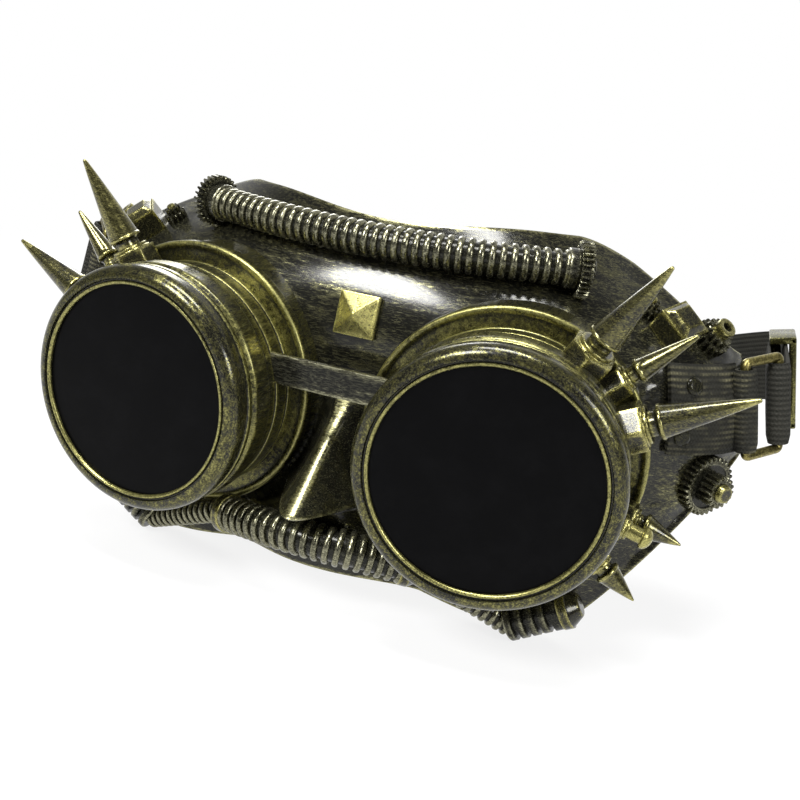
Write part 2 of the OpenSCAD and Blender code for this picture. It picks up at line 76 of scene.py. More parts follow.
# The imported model's own sizes, in millimetres
CUP_X, LENS_FRONT, SPLAY = 43.1, 45.0, math.radians(6)
LENS_R, RING_R, BARREL_R = 25.0, 29.5, 28.6
FLANGE_R, COLLAR_R, COLLAR_BORE = 33.5, 32.9, 27.4
NECK_R, BORE_R, RING_DEPTH = 26.3, 24.0, 8.0
HALF_WIDTH, SHELL_FRONT, SHELL_DEPTH, SHELL_EDGE, WALL = 94.5, -17.5, 42.0, 0.985, 2
NOSE_HEIGHT, NOSE_FOOT, NOSE_TOP, NOSE_TIP, NOSE_STEP = 27.5, 11, 4, -20.4, 2.6
STRAP_WIDTH, STRAP_THICK, STRAP_LEAN = 20.0, 1.6, math.radians(13)
BAR_R, BAR_GAP, SLIDER_BAR_R = 1.15, 0.1, 0.6
# How far the webbing's middle lies from a bar, how far the sewn end crosses over, and where
# the slider's own bar lies
LAYER = BAR_R + BAR_GAP + STRAP_THICK / 2
SEWN_SHIFT = 2 * LAYER - STRAP_THICK - BAR_GAP
FOLD = -LAYER + STRAP_THICK / 2 + 0.65
BAR_AT = Vector((91.2514, 6.7662, 14.7035))
LOOP_AT = Vector((98.4232, 14.9408, 16.3592))
SLIDER_AT = LOOP_AT.y + 28
STRAIGHT_TO = SLIDER_AT + 12
RING_TURN = math.radians(42)
TAB_X = 75.6
TAB_LEVEL, TAB_HALF = 14, STRAP_WIDTH / 2 - 0.02
TEMPLE_AT, CHEEK_AT, BLOCK_AT = (79.5, 29.2), (86.0, -3.9), (71.3, 30)
PINION_AT = (64.2, 34)

# The camera: where it stands, its focal length for an 800 pixel frame, and its
# right, down and forward directions
CAMERA_AT = (80.99, -228.05, 72.30)
FOCAL_PX = 963.2
CAMERA_ROWS = ((0.929951, 0.340990, 0.137538), (0.224809, -0.231313, -0.946549),
               (-0.290950, 0.911164, -0.291767))


def clamp(v, lo=0.0, hi=1.0):
    return min(max(v, lo), hi)


def ease(t):
    t = clamp(t)
    return t * t * (3 - 2 * t)


# The mask's outer face, by the same rule as the solid


def half_width(z):
    """Half the mask's width at a height."""
    return HALF_WIDTH - 0.0085 * max(z, 0) ** 2


def flange_gap(z):
    """Room for the nose beside the cup's flange."""
    centre, r = CUP_X - 27 * math.sin(SPLAY), FLANGE_R + 0.3
    return min(centre - math.sqrt(max(r * r - z * z, 0)), 26)


def nose_rise(z):
    """How far the ridge of the nose stands out."""
    if z > NOSE_TIP:
        return NOSE_HEIGHT * clamp((NOSE_TOP - z) / (NOSE_TOP - NOSE_TIP)) ** 1.1
    return NOSE_FOOT + (NOSE_HEIGHT - NOSE_FOOT) * ease((z + NOSE_STEP - NOSE_TIP) / NOSE_STEP)


def forehead(x, z):
    """How far the brow leans back."""
    bend, rest = min(max(z - 10, 0), 26), max(z - 36, 0)
    return (0.0015 * bend ** 2.6 + 0.72 * rest) * (1 + 1.2 * (min(abs(x), 58) / 58) ** 2)


def face(s, z):
    """The outer face at station s, from -1 to 1 across the mask, and height z."""
    x, t = s * half_width(z), min(abs(s), SHELL_EDGE)
    nose = nose_rise(z) * max(math.cos(math.pi / 2 * clamp(abs(x) / flange_gap(z))), 0) ** 1.3
    y = SHELL_FRONT + SHELL_DEPTH * (1 - math.sqrt(1 - t ** 3.6)) + forehead(x, z) - nose
    return Vector((x, y, z))


def face_normal(s, z):
    """Outwards, from short steps towards the middle and up and down."""
    e, up = 0.004, 0.3
    ds = face(s, z) - face(s - e, z) if s > 0 else face(s + e, z) - face(s, z)
    return ds.cross(face(s, z + up) - face(s, z - up)).normalized()


def skin(s, z, off):
    """A point off the outer face by so many millimetres."""
    return face(s, z) + off * face_normal(s, z)


def station(x, z):
    return x / half_width(z)


def mask_low(s):
    """The mask's lower edge."""
    a = abs(s) * HALF_WIDTH
    if a < 58:
        return -39 - 7 * ease(a / 50)
    return -46 + 48 * clamp((a - 58) / 35) ** 1.2


def mask_high(s):
    """The mask's upper edge."""
    a = abs(s) * HALF_WIDTH
    if a < 55:
        return 45 + 2.5 * ease(a / 45)
    return 47.5 - 22 * clamp((a - 55) / 38) ** 1.6


# Frames that pieces are built in, as matrices in millimetres


def flip(s):
    return Matrix.Diagonal((s, 1, 1, 1))


def cup_frame(s):
    """Local Z out of the cup, zero at the lens rim."""
    turn = Matrix.Rotation(SPLAY, 4, "Z") @ Matrix.Rotation(math.pi / 2, 4, "X")
    return flip(s) @ Matrix.Translation((CUP_X, -LENS_FRONT, 0)) @ turn


def along(p, v):
    """Local Z along v, from the point p."""
    v = Vector(v).normalized()
    tilt = Matrix.Rotation(math.acos(clamp(v.z, -1, 1)), 4, "Y")
    return Matrix.Translation(p) @ Matrix.Rotation(math.atan2(v.y, v.x), 4, "Z") @ tilt


def on_face(s, x, z, off=0.0, turn=0.0):
    """Local Z straight out of the mask."""
    st = station(x, z)
    spin = Matrix.Rotation(math.radians(turn), 4, "Z")
    return flip(s) @ along(skin(st, z, off), face_normal(st, z)) @ spin


def at_stud(s, stud, up=0.0):
    """Local Z out of the cup's side, where the stud's row says."""
    angle, depth, lean = stud[:3]
    return (cup_frame(s) @ Matrix.Rotation(math.radians(angle), 4, "Z")
            @ Matrix.Translation((BARREL_R, 0, -depth))
            @ Matrix.Rotation(math.radians(90 - lean), 4, "Y")
            @ Matrix.Translation((0, 0, up - 1)))


# Mesh makers. Each returns (points in millimetres, faces).


def spun(profile, turns, closed=True):
    """A profile of (radius, height) turned round local Z."""
    pts, faces, n = [], [], len(profile)
    for k in range(turns):
        c, s = math.cos(2 * math.pi * k / turns), math.sin(2 * math.pi * k / turns)
        pts += [(r * c, r * s, z) for r, z in profile]
    last = n if closed else n - 1
    for k in range(turns):
        a, b = k * n, (k + 1) % turns * n
        faces += [(a + i, b + i, b + (i + 1) % n, a + (i + 1) % n) for i in range(last)]
    return pts, faces


def divided(points, closed, step=0.7):
    """The same line with its long stretches cut, so that wear stays at the corners."""
    out, n = [], len(points)
    for i in range(n):
        a, b = Vector(points[i]), Vector(points[(i + 1) % n])
        cuts = int((b - a).length / step) if closed or i < n - 1 else 0
        out += [tuple(a.lerp(b, k / (cuts + 1))) for k in range(cuts + 1)]
    return out


def rounded(profile, r=0.25, steps=2, closed=True):
    """A profile with each corner cut into a small arc."""
    out, n = [], len(profile)
    for i, p in enumerate(profile):
        p = Vector(p)
        if not closed and i in (0, n - 1):
            out.append(tuple(p))
            continue
        a, b = Vector(profile[i - 1]) - p, Vector(profile[(i + 1) % n]) - p
        cut = min(r, a.length * 0.42, b.length * 0.42)
        if cut < 1e-4:
            out.append(tuple(p))
            continue
        p0, p1 = p + a.normalized() * cut, p + b.normalized() * cut
        for k in range(steps + 1):
            t = k / steps
            out.append(tuple(p0 * (1 - t) ** 2 + p * 2 * t * (1 - t) + p1 * t * t))
    return divided(out, closed)


def swept(sections, closed=False):
    """Rings of points joined one to the next, with flat ends unless they close."""
    n, m = len(sections[0]), len(sections)
    pts = [tuple(p) for ring in sections for p in ring]
    faces = []
    for i in range(m if closed else m - 1):
        a, b = i * n, (i + 1) % m * n
        faces += [(a + k, a + (k + 1) % n, b + (k + 1) % n, b + k) for k in range(n)]
    if not closed:
        faces += [tuple(range(n))[::-1], tuple(range((m - 1) * n, m * n))]
    return pts, faces


def prism(outline, h, z=0.0):
    """A flat outline given a height."""
    n = len(outline)
    pts = [(x, y, z) for x, y in outline] + [(x, y, z + h) for x, y in outline]
    faces = [(k, (k + 1) % n, n + (k + 1) % n, n + k) for k in range(n)]
    return pts, faces + [tuple(range(n))[::-1], tuple(range(n, 2 * n))]


def polygon(r, n):
    return [(r * math.cos(2 * math.pi * k / n), r * math.sin(2 * math.pi * k / n))
            for k in range(n)]


def box(lo, hi):
    return prism([(lo[0], lo[1]), (hi[0], lo[1]), (hi[0], hi[1]), (lo[0], hi[1])],
                 hi[2] - lo[2], lo[2])


def lathe(profile, r, turns, steps=2):
    """An open profile with its corners softened, turned round local Z."""
    return spun(rounded(profile, r, steps, closed=False), turns)


def pyramid(sizes, flat=1.0):
    """Squares of (half width, height), joined one to the next."""
    return swept([[(a * r, b * r * flat, z) for a, b in SQUARE] for r, z in sizes])


def joined(*parts):
    """Several (matrix, (points, faces)) as one."""
    pts, faces = [], []
    for matrix, (p, f) in parts:
        k = len(pts)
        pts += [tuple(matrix @ Vector(v)) for v in p]
        faces += [tuple(i + k for i in q) for q in f]
    return pts, faces


def apply_modifiers(obj):
    """The evaluated mesh takes the place of the mesh with live modifiers."""
    depsgraph = bpy.context.evaluated_depsgraph_get()
    mesh = bpy.data.meshes.new_from_object(obj.evaluated_get(depsgraph), depsgraph=depsgraph)
    old = obj.data
    obj.modifiers.clear()
    obj.data = mesh
    if isinstance(old, bpy.types.Mesh):
        bpy.data.meshes.remove(old)
    mesh.name = obj.name
    return obj


def linked(name, data):
    """A new object in the scene."""
    obj = bpy.data.objects.new(name, data)
    bpy.context.scene.collection.objects.link(obj)
    return obj


def raw_object(name, shape, matrix=Matrix.Identity(4)):
    """A scratch object in metres from (points in millimetres, faces)."""
    pts, faces = shape
    mesh = bpy.data.meshes.new(name)
    mesh.from_pydata([tuple(MM * (matrix @ Vector(p))) for p in pts], [], faces)
    return linked(name, mesh)


def line_object(name, points):
    """A scratch object of edges through the points."""
    edges = [(k, k + 1) for k in range(len(points) - 1)]
    mesh = bpy.data.meshes.new(name)
    mesh.from_pydata([tuple(MM * Vector(p)) for p in points], edges, [])
    return linked(name, mesh)


def edit_mesh(mesh, change):
    """Runs one change on the mesh as a bmesh."""
    bm = bmesh.new()
    bm.from_mesh(mesh)
    change(bm)
    bm.to_mesh(mesh)
    bm.free()


def tidy_normals(mesh, merge=1e-6):
    """Merges doubles, unless merge is zero, and turns the faces outwards."""
    def change(bm):
        if merge:
            bmesh.ops.remove_doubles(bm, verts=bm.verts, dist=merge)
        bmesh.ops.recalc_face_normals(bm, faces=bm.faces)
    edit_mesh(mesh, change)


def refine(mesh, step):
    """Cuts the long edges of flat-sided pieces, so that wear stays at the corners."""
    def change(bm):
        for _ in range(4):
            edges = [e for e in bm.edges if e.calc_length() > step * MM]
            if edges:
                bmesh.ops.subdivide_edges(bm, edges=edges, cuts=1, use_grid_fill=True)
    edit_mesh(mesh, change)


def fused(name, objs):
    """Several scratch objects made one."""
    bm = bmesh.new()
    for o in objs:
        bm.from_mesh(o.data)
    mesh = bpy.data.meshes.new(name)
    bm.to_mesh(mesh)
    bm.free()
    for o in objs:
        bpy.data.objects.remove(o)
    return linked(name, mesh)


# An edge stands out by how far the surface turns along it, per this many metres, and a point by
# the mean of its edges, evened out over so many rings of neighbours
WEAR_SCALE, WEAR_REACH = 0.0003, 2


def relief(mesh):
    """Stores how far each point stands out, or its own value of wear and painted highlight where
    that is more.
    """
    n = len(mesh.vertices)
    co, no = np.empty(n * 3), np.empty(n * 3)
    mesh.vertices.foreach_get("co", co)
    mesh.vertices.foreach_get("normal", no)
    co, no = co.reshape(n, 3), no.reshape(n, 3)
    e = np.empty(len(mesh.edges) * 2, int)
    mesh.edges.foreach_get("vertices", e)
    a, b = e.reshape(-1, 2).T
    d = co[b] - co[a]
    k = np.einsum("ij,ij->i", no[b] - no[a], d) / np.maximum(np.einsum("ij,ij->i", d, d), 1e-14)
    k = np.clip(k * WEAR_SCALE, -1, 1)
    out, count = np.zeros(n), np.zeros(n)
    for i in (a, b):
        np.add.at(out, i, k)
        np.add.at(count, i, 1)
    out /= np.maximum(count, 1)
    for _ in range(WEAR_REACH):
        near, weight = out.copy(), np.ones(n)
        for i, j in ((a, b), (b, a)):
            np.add.at(near, i, out[j])
            np.add.at(weight, i, 1)
        out = near / weight
    # Wear, and on the nose ridge a painted highlight, where the piece stores it
    if "worn" in mesh.attributes:
        worn = np.empty(n, np.float32)
        mesh.attributes["worn"].data.foreach_get("value", worn)
        out = np.maximum(out, worn)
    layer = mesh.attributes.new("relief", "FLOAT", "POINT")
    layer.data.foreach_set("value", out.astype(np.float32))


def finish(obj, paint, node=None, slot="antique_paint", body="mask", bevel=0.0, angle=35,
           merge=True, step=0):
    """Bevels, smooths, marks and paints the piece, hangs it on its body and hides the imported
    part it stands for.
    """
    if merge:
        tidy_normals(obj.data)
    if bevel:
        mod = obj.modifiers.new("Bevel", "BEVEL")
        mod.width, mod.segments, mod.limit_method = bevel * MM, 2, "ANGLE"
        mod.angle_limit = math.radians(30)
    if obj.modifiers:
        apply_modifiers(obj)
    mesh = obj.data
    mesh.polygons.foreach_set("use_smooth", [True] * len(mesh.polygons))
    if step:
        refine(mesh, step)
    mesh.set_sharp_from_angle(angle=math.radians(angle))
    relief(mesh)
    mesh.materials.clear()
    mesh.materials.append(material(paint))
    if body:
        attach(obj, body)
    if node:
        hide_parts(node)
    return obj


def piece(name, shape, paint, node=None, at=Matrix.Identity(4), **options):
    """A finished piece from points and faces."""
    return finish(raw_object(name, shape, at), paint, node, **options)


# Shader groups. They read Object coordinates or the piece's own attributes.


class Tree:
    """Adds nodes and links to a node tree in few words."""

    def __init__(self, tree):
        self.tree = tree

    def feed(self, node, inputs):
        """Links or sets a node's inputs."""
        for key, value in dict(inputs).items():
            if isinstance(value, bpy.types.NodeSocket):
                self.tree.links.new(value, node.inputs[key])
            else:
                node.inputs[key].default_value = value
        return node

    def add(self, kind, inputs=(), **settings):
        node = self.tree.nodes.new(kind)
        for key, value in settings.items():
            setattr(node, key, value)
        return self.feed(node, inputs)

    def math(self, operation, a, b=0.0, c=0.0):
        return self.add("ShaderNodeMath", {0: a, 1: b, 2: c}, operation=operation).outputs[0]

    def place(self):
        return self.add("ShaderNodeTexCoord").outputs["Object"]

    def noise(self, vector, scale, detail=4.0, rough=0.55):
        return self.add("ShaderNodeTexNoise", {"Vector": vector, "Scale": scale, "Detail": detail,
                                               "Roughness": rough}).outputs["Fac"]

    def ramp(self, value, lo, hi, to_lo=0.0, to_hi=1.0):
        node = self.add("ShaderNodeMapRange", {"Value": value, "From Min": lo, "From Max": hi,
                                               "To Min": to_lo, "To Max": to_hi})
        node.interpolation_type = "SMOOTHSTEP"
        return node.outputs["Result"]

    def mix(self, factor, a, b, kind="RGBA", blend="MIX"):
        first, second, result = {"RGBA": (6, 7, 2), "FLOAT": (2, 3, 0)}[kind]
        return self.add("ShaderNodeMix", {0: factor, first: a, second: b}, data_type=kind,
                        blend_type=blend).outputs[result]

    def bump(self, height, strength, distance):
        return self.add("ShaderNodeBump", {"Height": height, "Strength": strength,
                                           "Distance": distance}).outputs[0]


def shader_group(name, inputs, outputs):
    """An empty shader group with its sockets, its input node and its output node."""
    group = bpy.data.node_groups.new(name, "ShaderNodeTree")
    for label, kind, default in inputs:
        socket = group.interface.new_socket(name=label, in_out="INPUT", socket_type=kind)
        socket.default_value = default
    for label, kind in outputs:
        group.interface.new_socket(name=label, in_out="OUTPUT", socket_type=kind)
    t = Tree(group)
    return t, t.add("NodeGroupInput").outputs, t.add("NodeGroupOutput")


FLOAT, COLOR, VECTOR = "NodeSocketFloat", "NodeSocketColor", "NodeSocketVector"


@cache
def dry_brush_group():
    """Gold rubbed over black: raised edges and brush streaks catch it, hollows stay dark."""
    t, i, out = shader_group("Dry brushed gold", [
        ("Dark", COLOR, (0.01, 0.01, 0.008, 1)), ("Gold", COLOR, (0.5, 0.42, 0.2, 1)),
        ("Amount", FLOAT, 0.5), ("Edge", FLOAT, 1.0), ("Streaks", FLOAT, 0.5),
        ("Hairs", FLOAT, 1.0), ("Patches", FLOAT, 1.0), ("Stroke", VECTOR, (1, 1, 1)),
        ("Rough", FLOAT, 0.0)],
        [("Color", COLOR), ("Gold Mask", FLOAT), ("Roughness", FLOAT), ("Height", FLOAT)])
    place = t.place()
    rel = t.add("ShaderNodeAttribute", attribute_name="relief").outputs["Fac"]
    stroked = t.add("ShaderNodeVectorMath", {0: place, 1: i["Stroke"]},
                    operation="MULTIPLY").outputs[0]
    strokes = t.noise(stroked, 1000, 3, 0.55)
    hairs = t.noise(stroked, 4200, 2, 0.6)
    patches = t.noise(place, 70, 3, 0.6)
    fine = t.noise(place, 2600, 2, 0.5)
    raw = t.math("ADD", i["Amount"], t.math("MULTIPLY", t.ramp(rel, 0.03, 0.26), i["Edge"]))
    for pattern, weight in ((strokes, i["Streaks"]), (hairs, i["Hairs"]),
                            (patches, i["Patches"]), (fine, 0.25)):
        raw = t.math("MULTIPLY_ADD", t.math("SUBTRACT", pattern, 0.5), weight, raw)
    raw = t.math("SUBTRACT", raw, t.ramp(rel, -0.015, -0.16))
    mask = t.ramp(raw, 0.0, 1.15)
    tone = t.mix(t.ramp(hairs, 0.3, 0.7), (0.45, 0.45, 0.45, 1), (1.2, 1.2, 1.2, 1))
    gold = t.mix(1.0, i["Gold"], tone, blend="MULTIPLY")
    haze = t.mix(t.math("MULTIPLY", t.ramp(hairs, 0.45, 0.7), 0.1), i["Dark"], i["Gold"])
    rough = t.math("ADD", t.mix(mask, 0.2, 0.3, "FLOAT"), i["Rough"])
    t.feed(out, {
        "Color": t.mix(mask, haze, gold), "Gold Mask": mask,
        "Roughness": t.math("MULTIPLY_ADD", t.math("SUBTRACT", strokes, 0.5), 0.3, rough),
        "Height": t.math("ADD", t.math("MULTIPLY", fine, 0.35),
                         t.math("MULTIPLY", strokes, 0.65))})
    return t.tree


@cache
def dust_group():
    """A soft mask of dust or fading in broad patches with fine specks."""
    t, i, out = shader_group("Dust", [("Amount", FLOAT, 0.3), ("Scale", FLOAT, 120.0)],
                             [("Mask", FLOAT)])
    place = t.place()
    broad = t.noise(place, i["Scale"], 4, 0.65)
    specks = t.noise(place, 3200, 2, 0.5)
    both = t.math("ADD", t.math("MULTIPLY", broad, 0.7), t.math("MULTIPLY", specks, 0.3))
    t.feed(out, {"Mask": t.math("MULTIPLY", t.ramp(both, 0.42, 0.7), i["Amount"])})
    return t.tree


@cache
def weave_group():
    """Ribbed elastic webbing, by its UV map in metres along and across the band."""
    t, i, out = shader_group("Ribbed webbing", [("Rib", FLOAT, 0.00125), ("Pick", FLOAT, 0.0007)],
                             [("Rib Mask", FLOAT), ("Height", FLOAT)])
    uv = t.add("ShaderNodeUVMap", uv_map="UVMap").outputs[0]
    split = t.add("ShaderNodeSeparateXYZ", {0: uv}).outputs
    turn, quarter = 2 * math.pi, 1.57
    rib = t.math("SINE", t.math("MULTIPLY", t.math("DIVIDE", split[1], i["Rib"]), turn))
    shift = t.math("MULTIPLY", t.math("SIGN", rib), quarter)
    step = t.math("DIVIDE", split[0], i["Pick"])
    pick = t.math("SINE", t.math("MULTIPLY_ADD", step, turn, shift))
    rib, pick = t.ramp(rib, -1, 1), t.ramp(pick, -1, 1)
    t.feed(out, {"Rib Mask": t.math("MULTIPLY", rib, t.math("MULTIPLY_ADD", pick, 0.4, 0.6)),
                 "Height": t.math("ADD", rib, t.math("MULTIPLY", pick, 0.45))})
    return t.tree


def new_material(name):
    mat = bpy.data.materials.new(name)
    mat.use_nodes = True
    return mat, Tree(mat.node_tree), mat.node_tree.nodes["Principled BSDF"]


def brushed(name, dark, gold, amount, edge, streaks, stroke=(1, 0.2, 1), coat=0.0, patches=0.9,
            hairs=0.9, metal=0.92, bump=0.1, rough=0.0):
    """Black plastic with antique gold brushed over it."""
    mat, t, bsdf = new_material(name)
    paint = t.add("ShaderNodeGroup", {
        "Dark": (*dark, 1), "Gold": (*gold, 1), "Amount": amount, "Edge": edge,
        "Streaks": streaks, "Hairs": hairs, "Patches": patches, "Stroke": stroke,
        "Rough": rough}, node_tree=dry_brush_group()).outputs
    t.feed(bsdf, {
        "Base Color": paint["Color"], "Roughness": paint["Roughness"],
        "Metallic": t.mix(t.ramp(paint["Gold Mask"], 0.0, 0.3), 0.35, metal, "FLOAT"),
        "Normal": t.bump(paint["Height"], bump, 0.0004), "Coat Weight": coat,
        "Coat Roughness": 0.12, "Specular IOR Level": 0.3})
    return mat


def lens_material(name, colour):
    """A satin black lens with faint dust and a fine film grain."""
    mat, t, bsdf = new_material(name)
    dust = t.add("ShaderNodeGroup", {"Amount": 0.35}, node_tree=dust_group()).outputs["Mask"]
    t.feed(bsdf, {
        "Base Color": t.mix(dust, (*colour, 1), (0.004, 0.004, 0.0045, 1)),
        "Roughness": t.mix(dust, 0.3, 0.5, "FLOAT"),
        "Normal": t.bump(t.noise(t.place(), 1500, 2), 0.03, 0.0002),
        "Specular IOR Level": 0.05})
    return mat


def rubber_material(name, colour):
    """Matt rubber or thread, dusty in broad patches."""
    mat, t, bsdf = new_material(name)
    dust = t.add("ShaderNodeGroup", node_tree=dust_group()).outputs["Mask"]
    t.feed(bsdf, {"Base Color": t.mix(dust, (*colour, 1), (0.06, 0.06, 0.055, 1)),
                  "Roughness": t.mix(dust, 0.5, 0.75, "FLOAT")})
    return mat


def webbing_material(name, colour, high, gold=0.0):
    """Elastic webbing: fine ribs along the band, crossed by the picks of the weave."""
    mat, t, bsdf = new_material(name)
    weave = t.add("ShaderNodeGroup", node_tree=weave_group()).outputs
    dust = t.add("ShaderNodeGroup", {"Amount": 0.5}, node_tree=dust_group()).outputs["Mask"]
    base = t.mix(weave["Rib Mask"], (*colour, 1), (*high, 1))
    base = t.mix(dust, base, (0.03, 0.029, 0.023, 1))
    if gold:
        rubbed = t.math("MULTIPLY", t.ramp(t.noise(t.place(), 160, 4, 0.6), 0.42, 0.72), gold)
        rubbed = t.math("MULTIPLY", rubbed, weave["Rib Mask"])
        base = t.mix(rubbed, base, (0.3, 0.28, 0.16, 1))
    t.feed(bsdf, {"Base Color": base, "Normal": t.bump(weave["Height"], 0.7, 0.00035),
                  "Roughness": 0.8, "Specular IOR Level": 0.12})
    return mat


# Geometry Nodes trees. Their inputs are named, and they end in plain, painted geometry.


def geometry_tree(name, inputs):
    tree = bpy.data.node_groups.new(name, "GeometryNodeTree")
    tree.interface.new_socket(name="Geometry", in_out="INPUT", socket_type="NodeSocketGeometry")
    for label, kind in inputs:
        tree.interface.new_socket(name=label, in_out="INPUT", socket_type=kind)
    tree.interface.new_socket(name="Geometry", in_out="OUTPUT", socket_type="NodeSocketGeometry")
    t = Tree(tree)
    return t, t.add("NodeGroupInput").outputs, t.add("NodeGroupOutput")


def close_tree(t, i, out, parts):
    """Joins the parts, realizes them and sets the material."""
    join = t.add("GeometryNodeJoinGeometry")
    for part in parts:
        t.tree.links.new(part, join.inputs[0])
    real = t.add("GeometryNodeRealizeInstances", {0: join.outputs[0]})
    painted = t.add("GeometryNodeSetMaterial", {"Geometry": real.outputs[0],
                                                "Material": i["Material"]})
    t.tree.links.new(painted.outputs[0], out.inputs[0])
    return t.tree


INT, OBJECT, MATERIAL = "NodeSocketInt", "NodeSocketObject", "NodeSocketMaterial"


@cache
def copies_round_tree():
    """Copies of one piece round local Z, added to the object's own mesh."""
    t, i, out = geometry_tree("Copies round an axis", [
        ("Count", INT), ("Radius", FLOAT), ("Copy", OBJECT), ("Material", MATERIAL)])
    circle = t.add("GeometryNodeMeshCircle", {"Vertices": i["Count"], "Radius": i["Radius"]})
    place = t.add("GeometryNodeInputPosition").outputs[0]
    turn = t.add("FunctionNodeAlignRotationToVector", {"Vector": place}, axis="X", pivot_axis="Z")
    copy = t.add("GeometryNodeObjectInfo", {"Object": i["Copy"]})
    put = t.add("GeometryNodeInstanceOnPoints", {
        "Points": circle.outputs[0], "Instance": copy.outputs["Geometry"],
        "Rotation": turn.outputs[0]})
    return close_tree(t, i, out, [i["Geometry"], put.outputs[0]])


@cache
def copies_along_tree():
    """Copies of one piece along the object's own line, with a plain tube inside them."""
    t, i, out = geometry_tree("Copies along a line", [
        ("Count", INT), ("Tube Radius", FLOAT), ("Copy", OBJECT), ("Material", MATERIAL)])
    line = t.add("GeometryNodeMeshToCurve", {0: i["Geometry"]}).outputs[0]
    points = t.add("GeometryNodeCurveToPoints", {"Curve": line, "Count": i["Count"]}, mode="COUNT")
    aim = t.add("FunctionNodeAlignRotationToVector", {"Vector": points.outputs["Tangent"]},
                axis="Z")
    level = t.add("FunctionNodeAlignRotationToVector", {
        "Rotation": aim.outputs[0], "Vector": (0, 0, 1)}, axis="X", pivot_axis="Z")
    copy = t.add("GeometryNodeObjectInfo", {"Object": i["Copy"]})
    put = t.add("GeometryNodeInstanceOnPoints", {
        "Points": points.outputs[0], "Instance": copy.outputs["Geometry"],
        "Rotation": level.outputs[0]})
    ring = t.add("GeometryNodeCurvePrimitiveCircle", {"Resolution": 32,
                                                      "Radius": i["Tube Radius"]})
    tube = t.add("GeometryNodeCurveToMesh", {"Curve": line, "Profile Curve": ring.outputs[0]})
    return close_tree(t, i, out, [put.outputs[0], tube.outputs[0]])


def grow(obj, tree, values):
    """Runs a Geometry Nodes tree on the object and keeps the plain mesh."""
    mod = obj.modifiers.new("Copies", "NODES")
    mod.node_group = tree
    names = {s.name: s.identifier for s in tree.interface.items_tree
             if getattr(s, "in_out", "") == "INPUT"}
    for label, value in values.items():
        mod[names[label]] = value
    copy = values["Copy"]
    apply_modifiers(obj)
    bpy.data.objects.remove(copy)
    return obj


# The settings that a user would change


class GogglesSettings(bpy.types.PropertyGroup):
    """Finish and detail of the goggles."""

    black: bpy.props.FloatVectorProperty(
        name="Black", description="Plastic under the gold", subtype="COLOR", size=3, min=0, max=1,
        default=(0.008, 0.008, 0.006))
    gold: bpy.props.FloatVectorProperty(
        name="Antique gold", description="Paint brushed over the black", subtype="COLOR", size=3,
        min=0, max=1, default=(0.34, 0.32, 0.115))
    bright_gold: bpy.props.FloatVectorProperty(
        name="Bright gold", description="Paint on studs and spikes", subtype="COLOR", size=3,
        min=0, max=1, default=(0.45, 0.415, 0.15))
    brass: bpy.props.FloatVectorProperty(
        name="Ring brass", description="Metal of the strap rings", subtype="COLOR", size=3,
        min=0, max=1, default=(0.36, 0.31, 0.11))
    webbing: bpy.props.FloatVectorProperty(
        name="Webbing", description="Colour of the elastic strap", subtype="COLOR", size=3,
        min=0, max=1, default=(0.016, 0.016, 0.013))
    lens: bpy.props.FloatVectorProperty(
        name="Lens", description="Colour of the dark lenses", subtype="COLOR", size=3,
        min=0, max=1, default=(0.0012, 0.0012, 0.0014))
    shell_columns: bpy.props.IntProperty(
        name="Shell columns", description="Faces across the mask", default=230, min=60, max=320)
    shell_rows: bpy.props.IntProperty(
        name="Shell rows", description="Faces up the mask", default=120, min=40, max=160)
    brow_ribs: bpy.props.IntProperty(
        name="Brow hose ribs", description="Ribs on the hose over the brow", default=38, min=20,
        max=60)
    nose_ribs: bpy.props.IntProperty(
        name="Nose hose ribs", description="Ribs on the hose under the nose", default=20, min=10,
        max=40)
    dents: bpy.props.FloatProperty(
        name="Dents", description="Depth of the hammered dents in the temples", default=0.0006,
        min=0, max=0.001, unit="LENGTH")
    stitch: bpy.props.FloatProperty(
        name="Stitch", description="Length of one stitch", default=0.0022, min=0.001, max=0.004,
        unit="LENGTH")


def settings():
    return bpy.context.scene.goggles


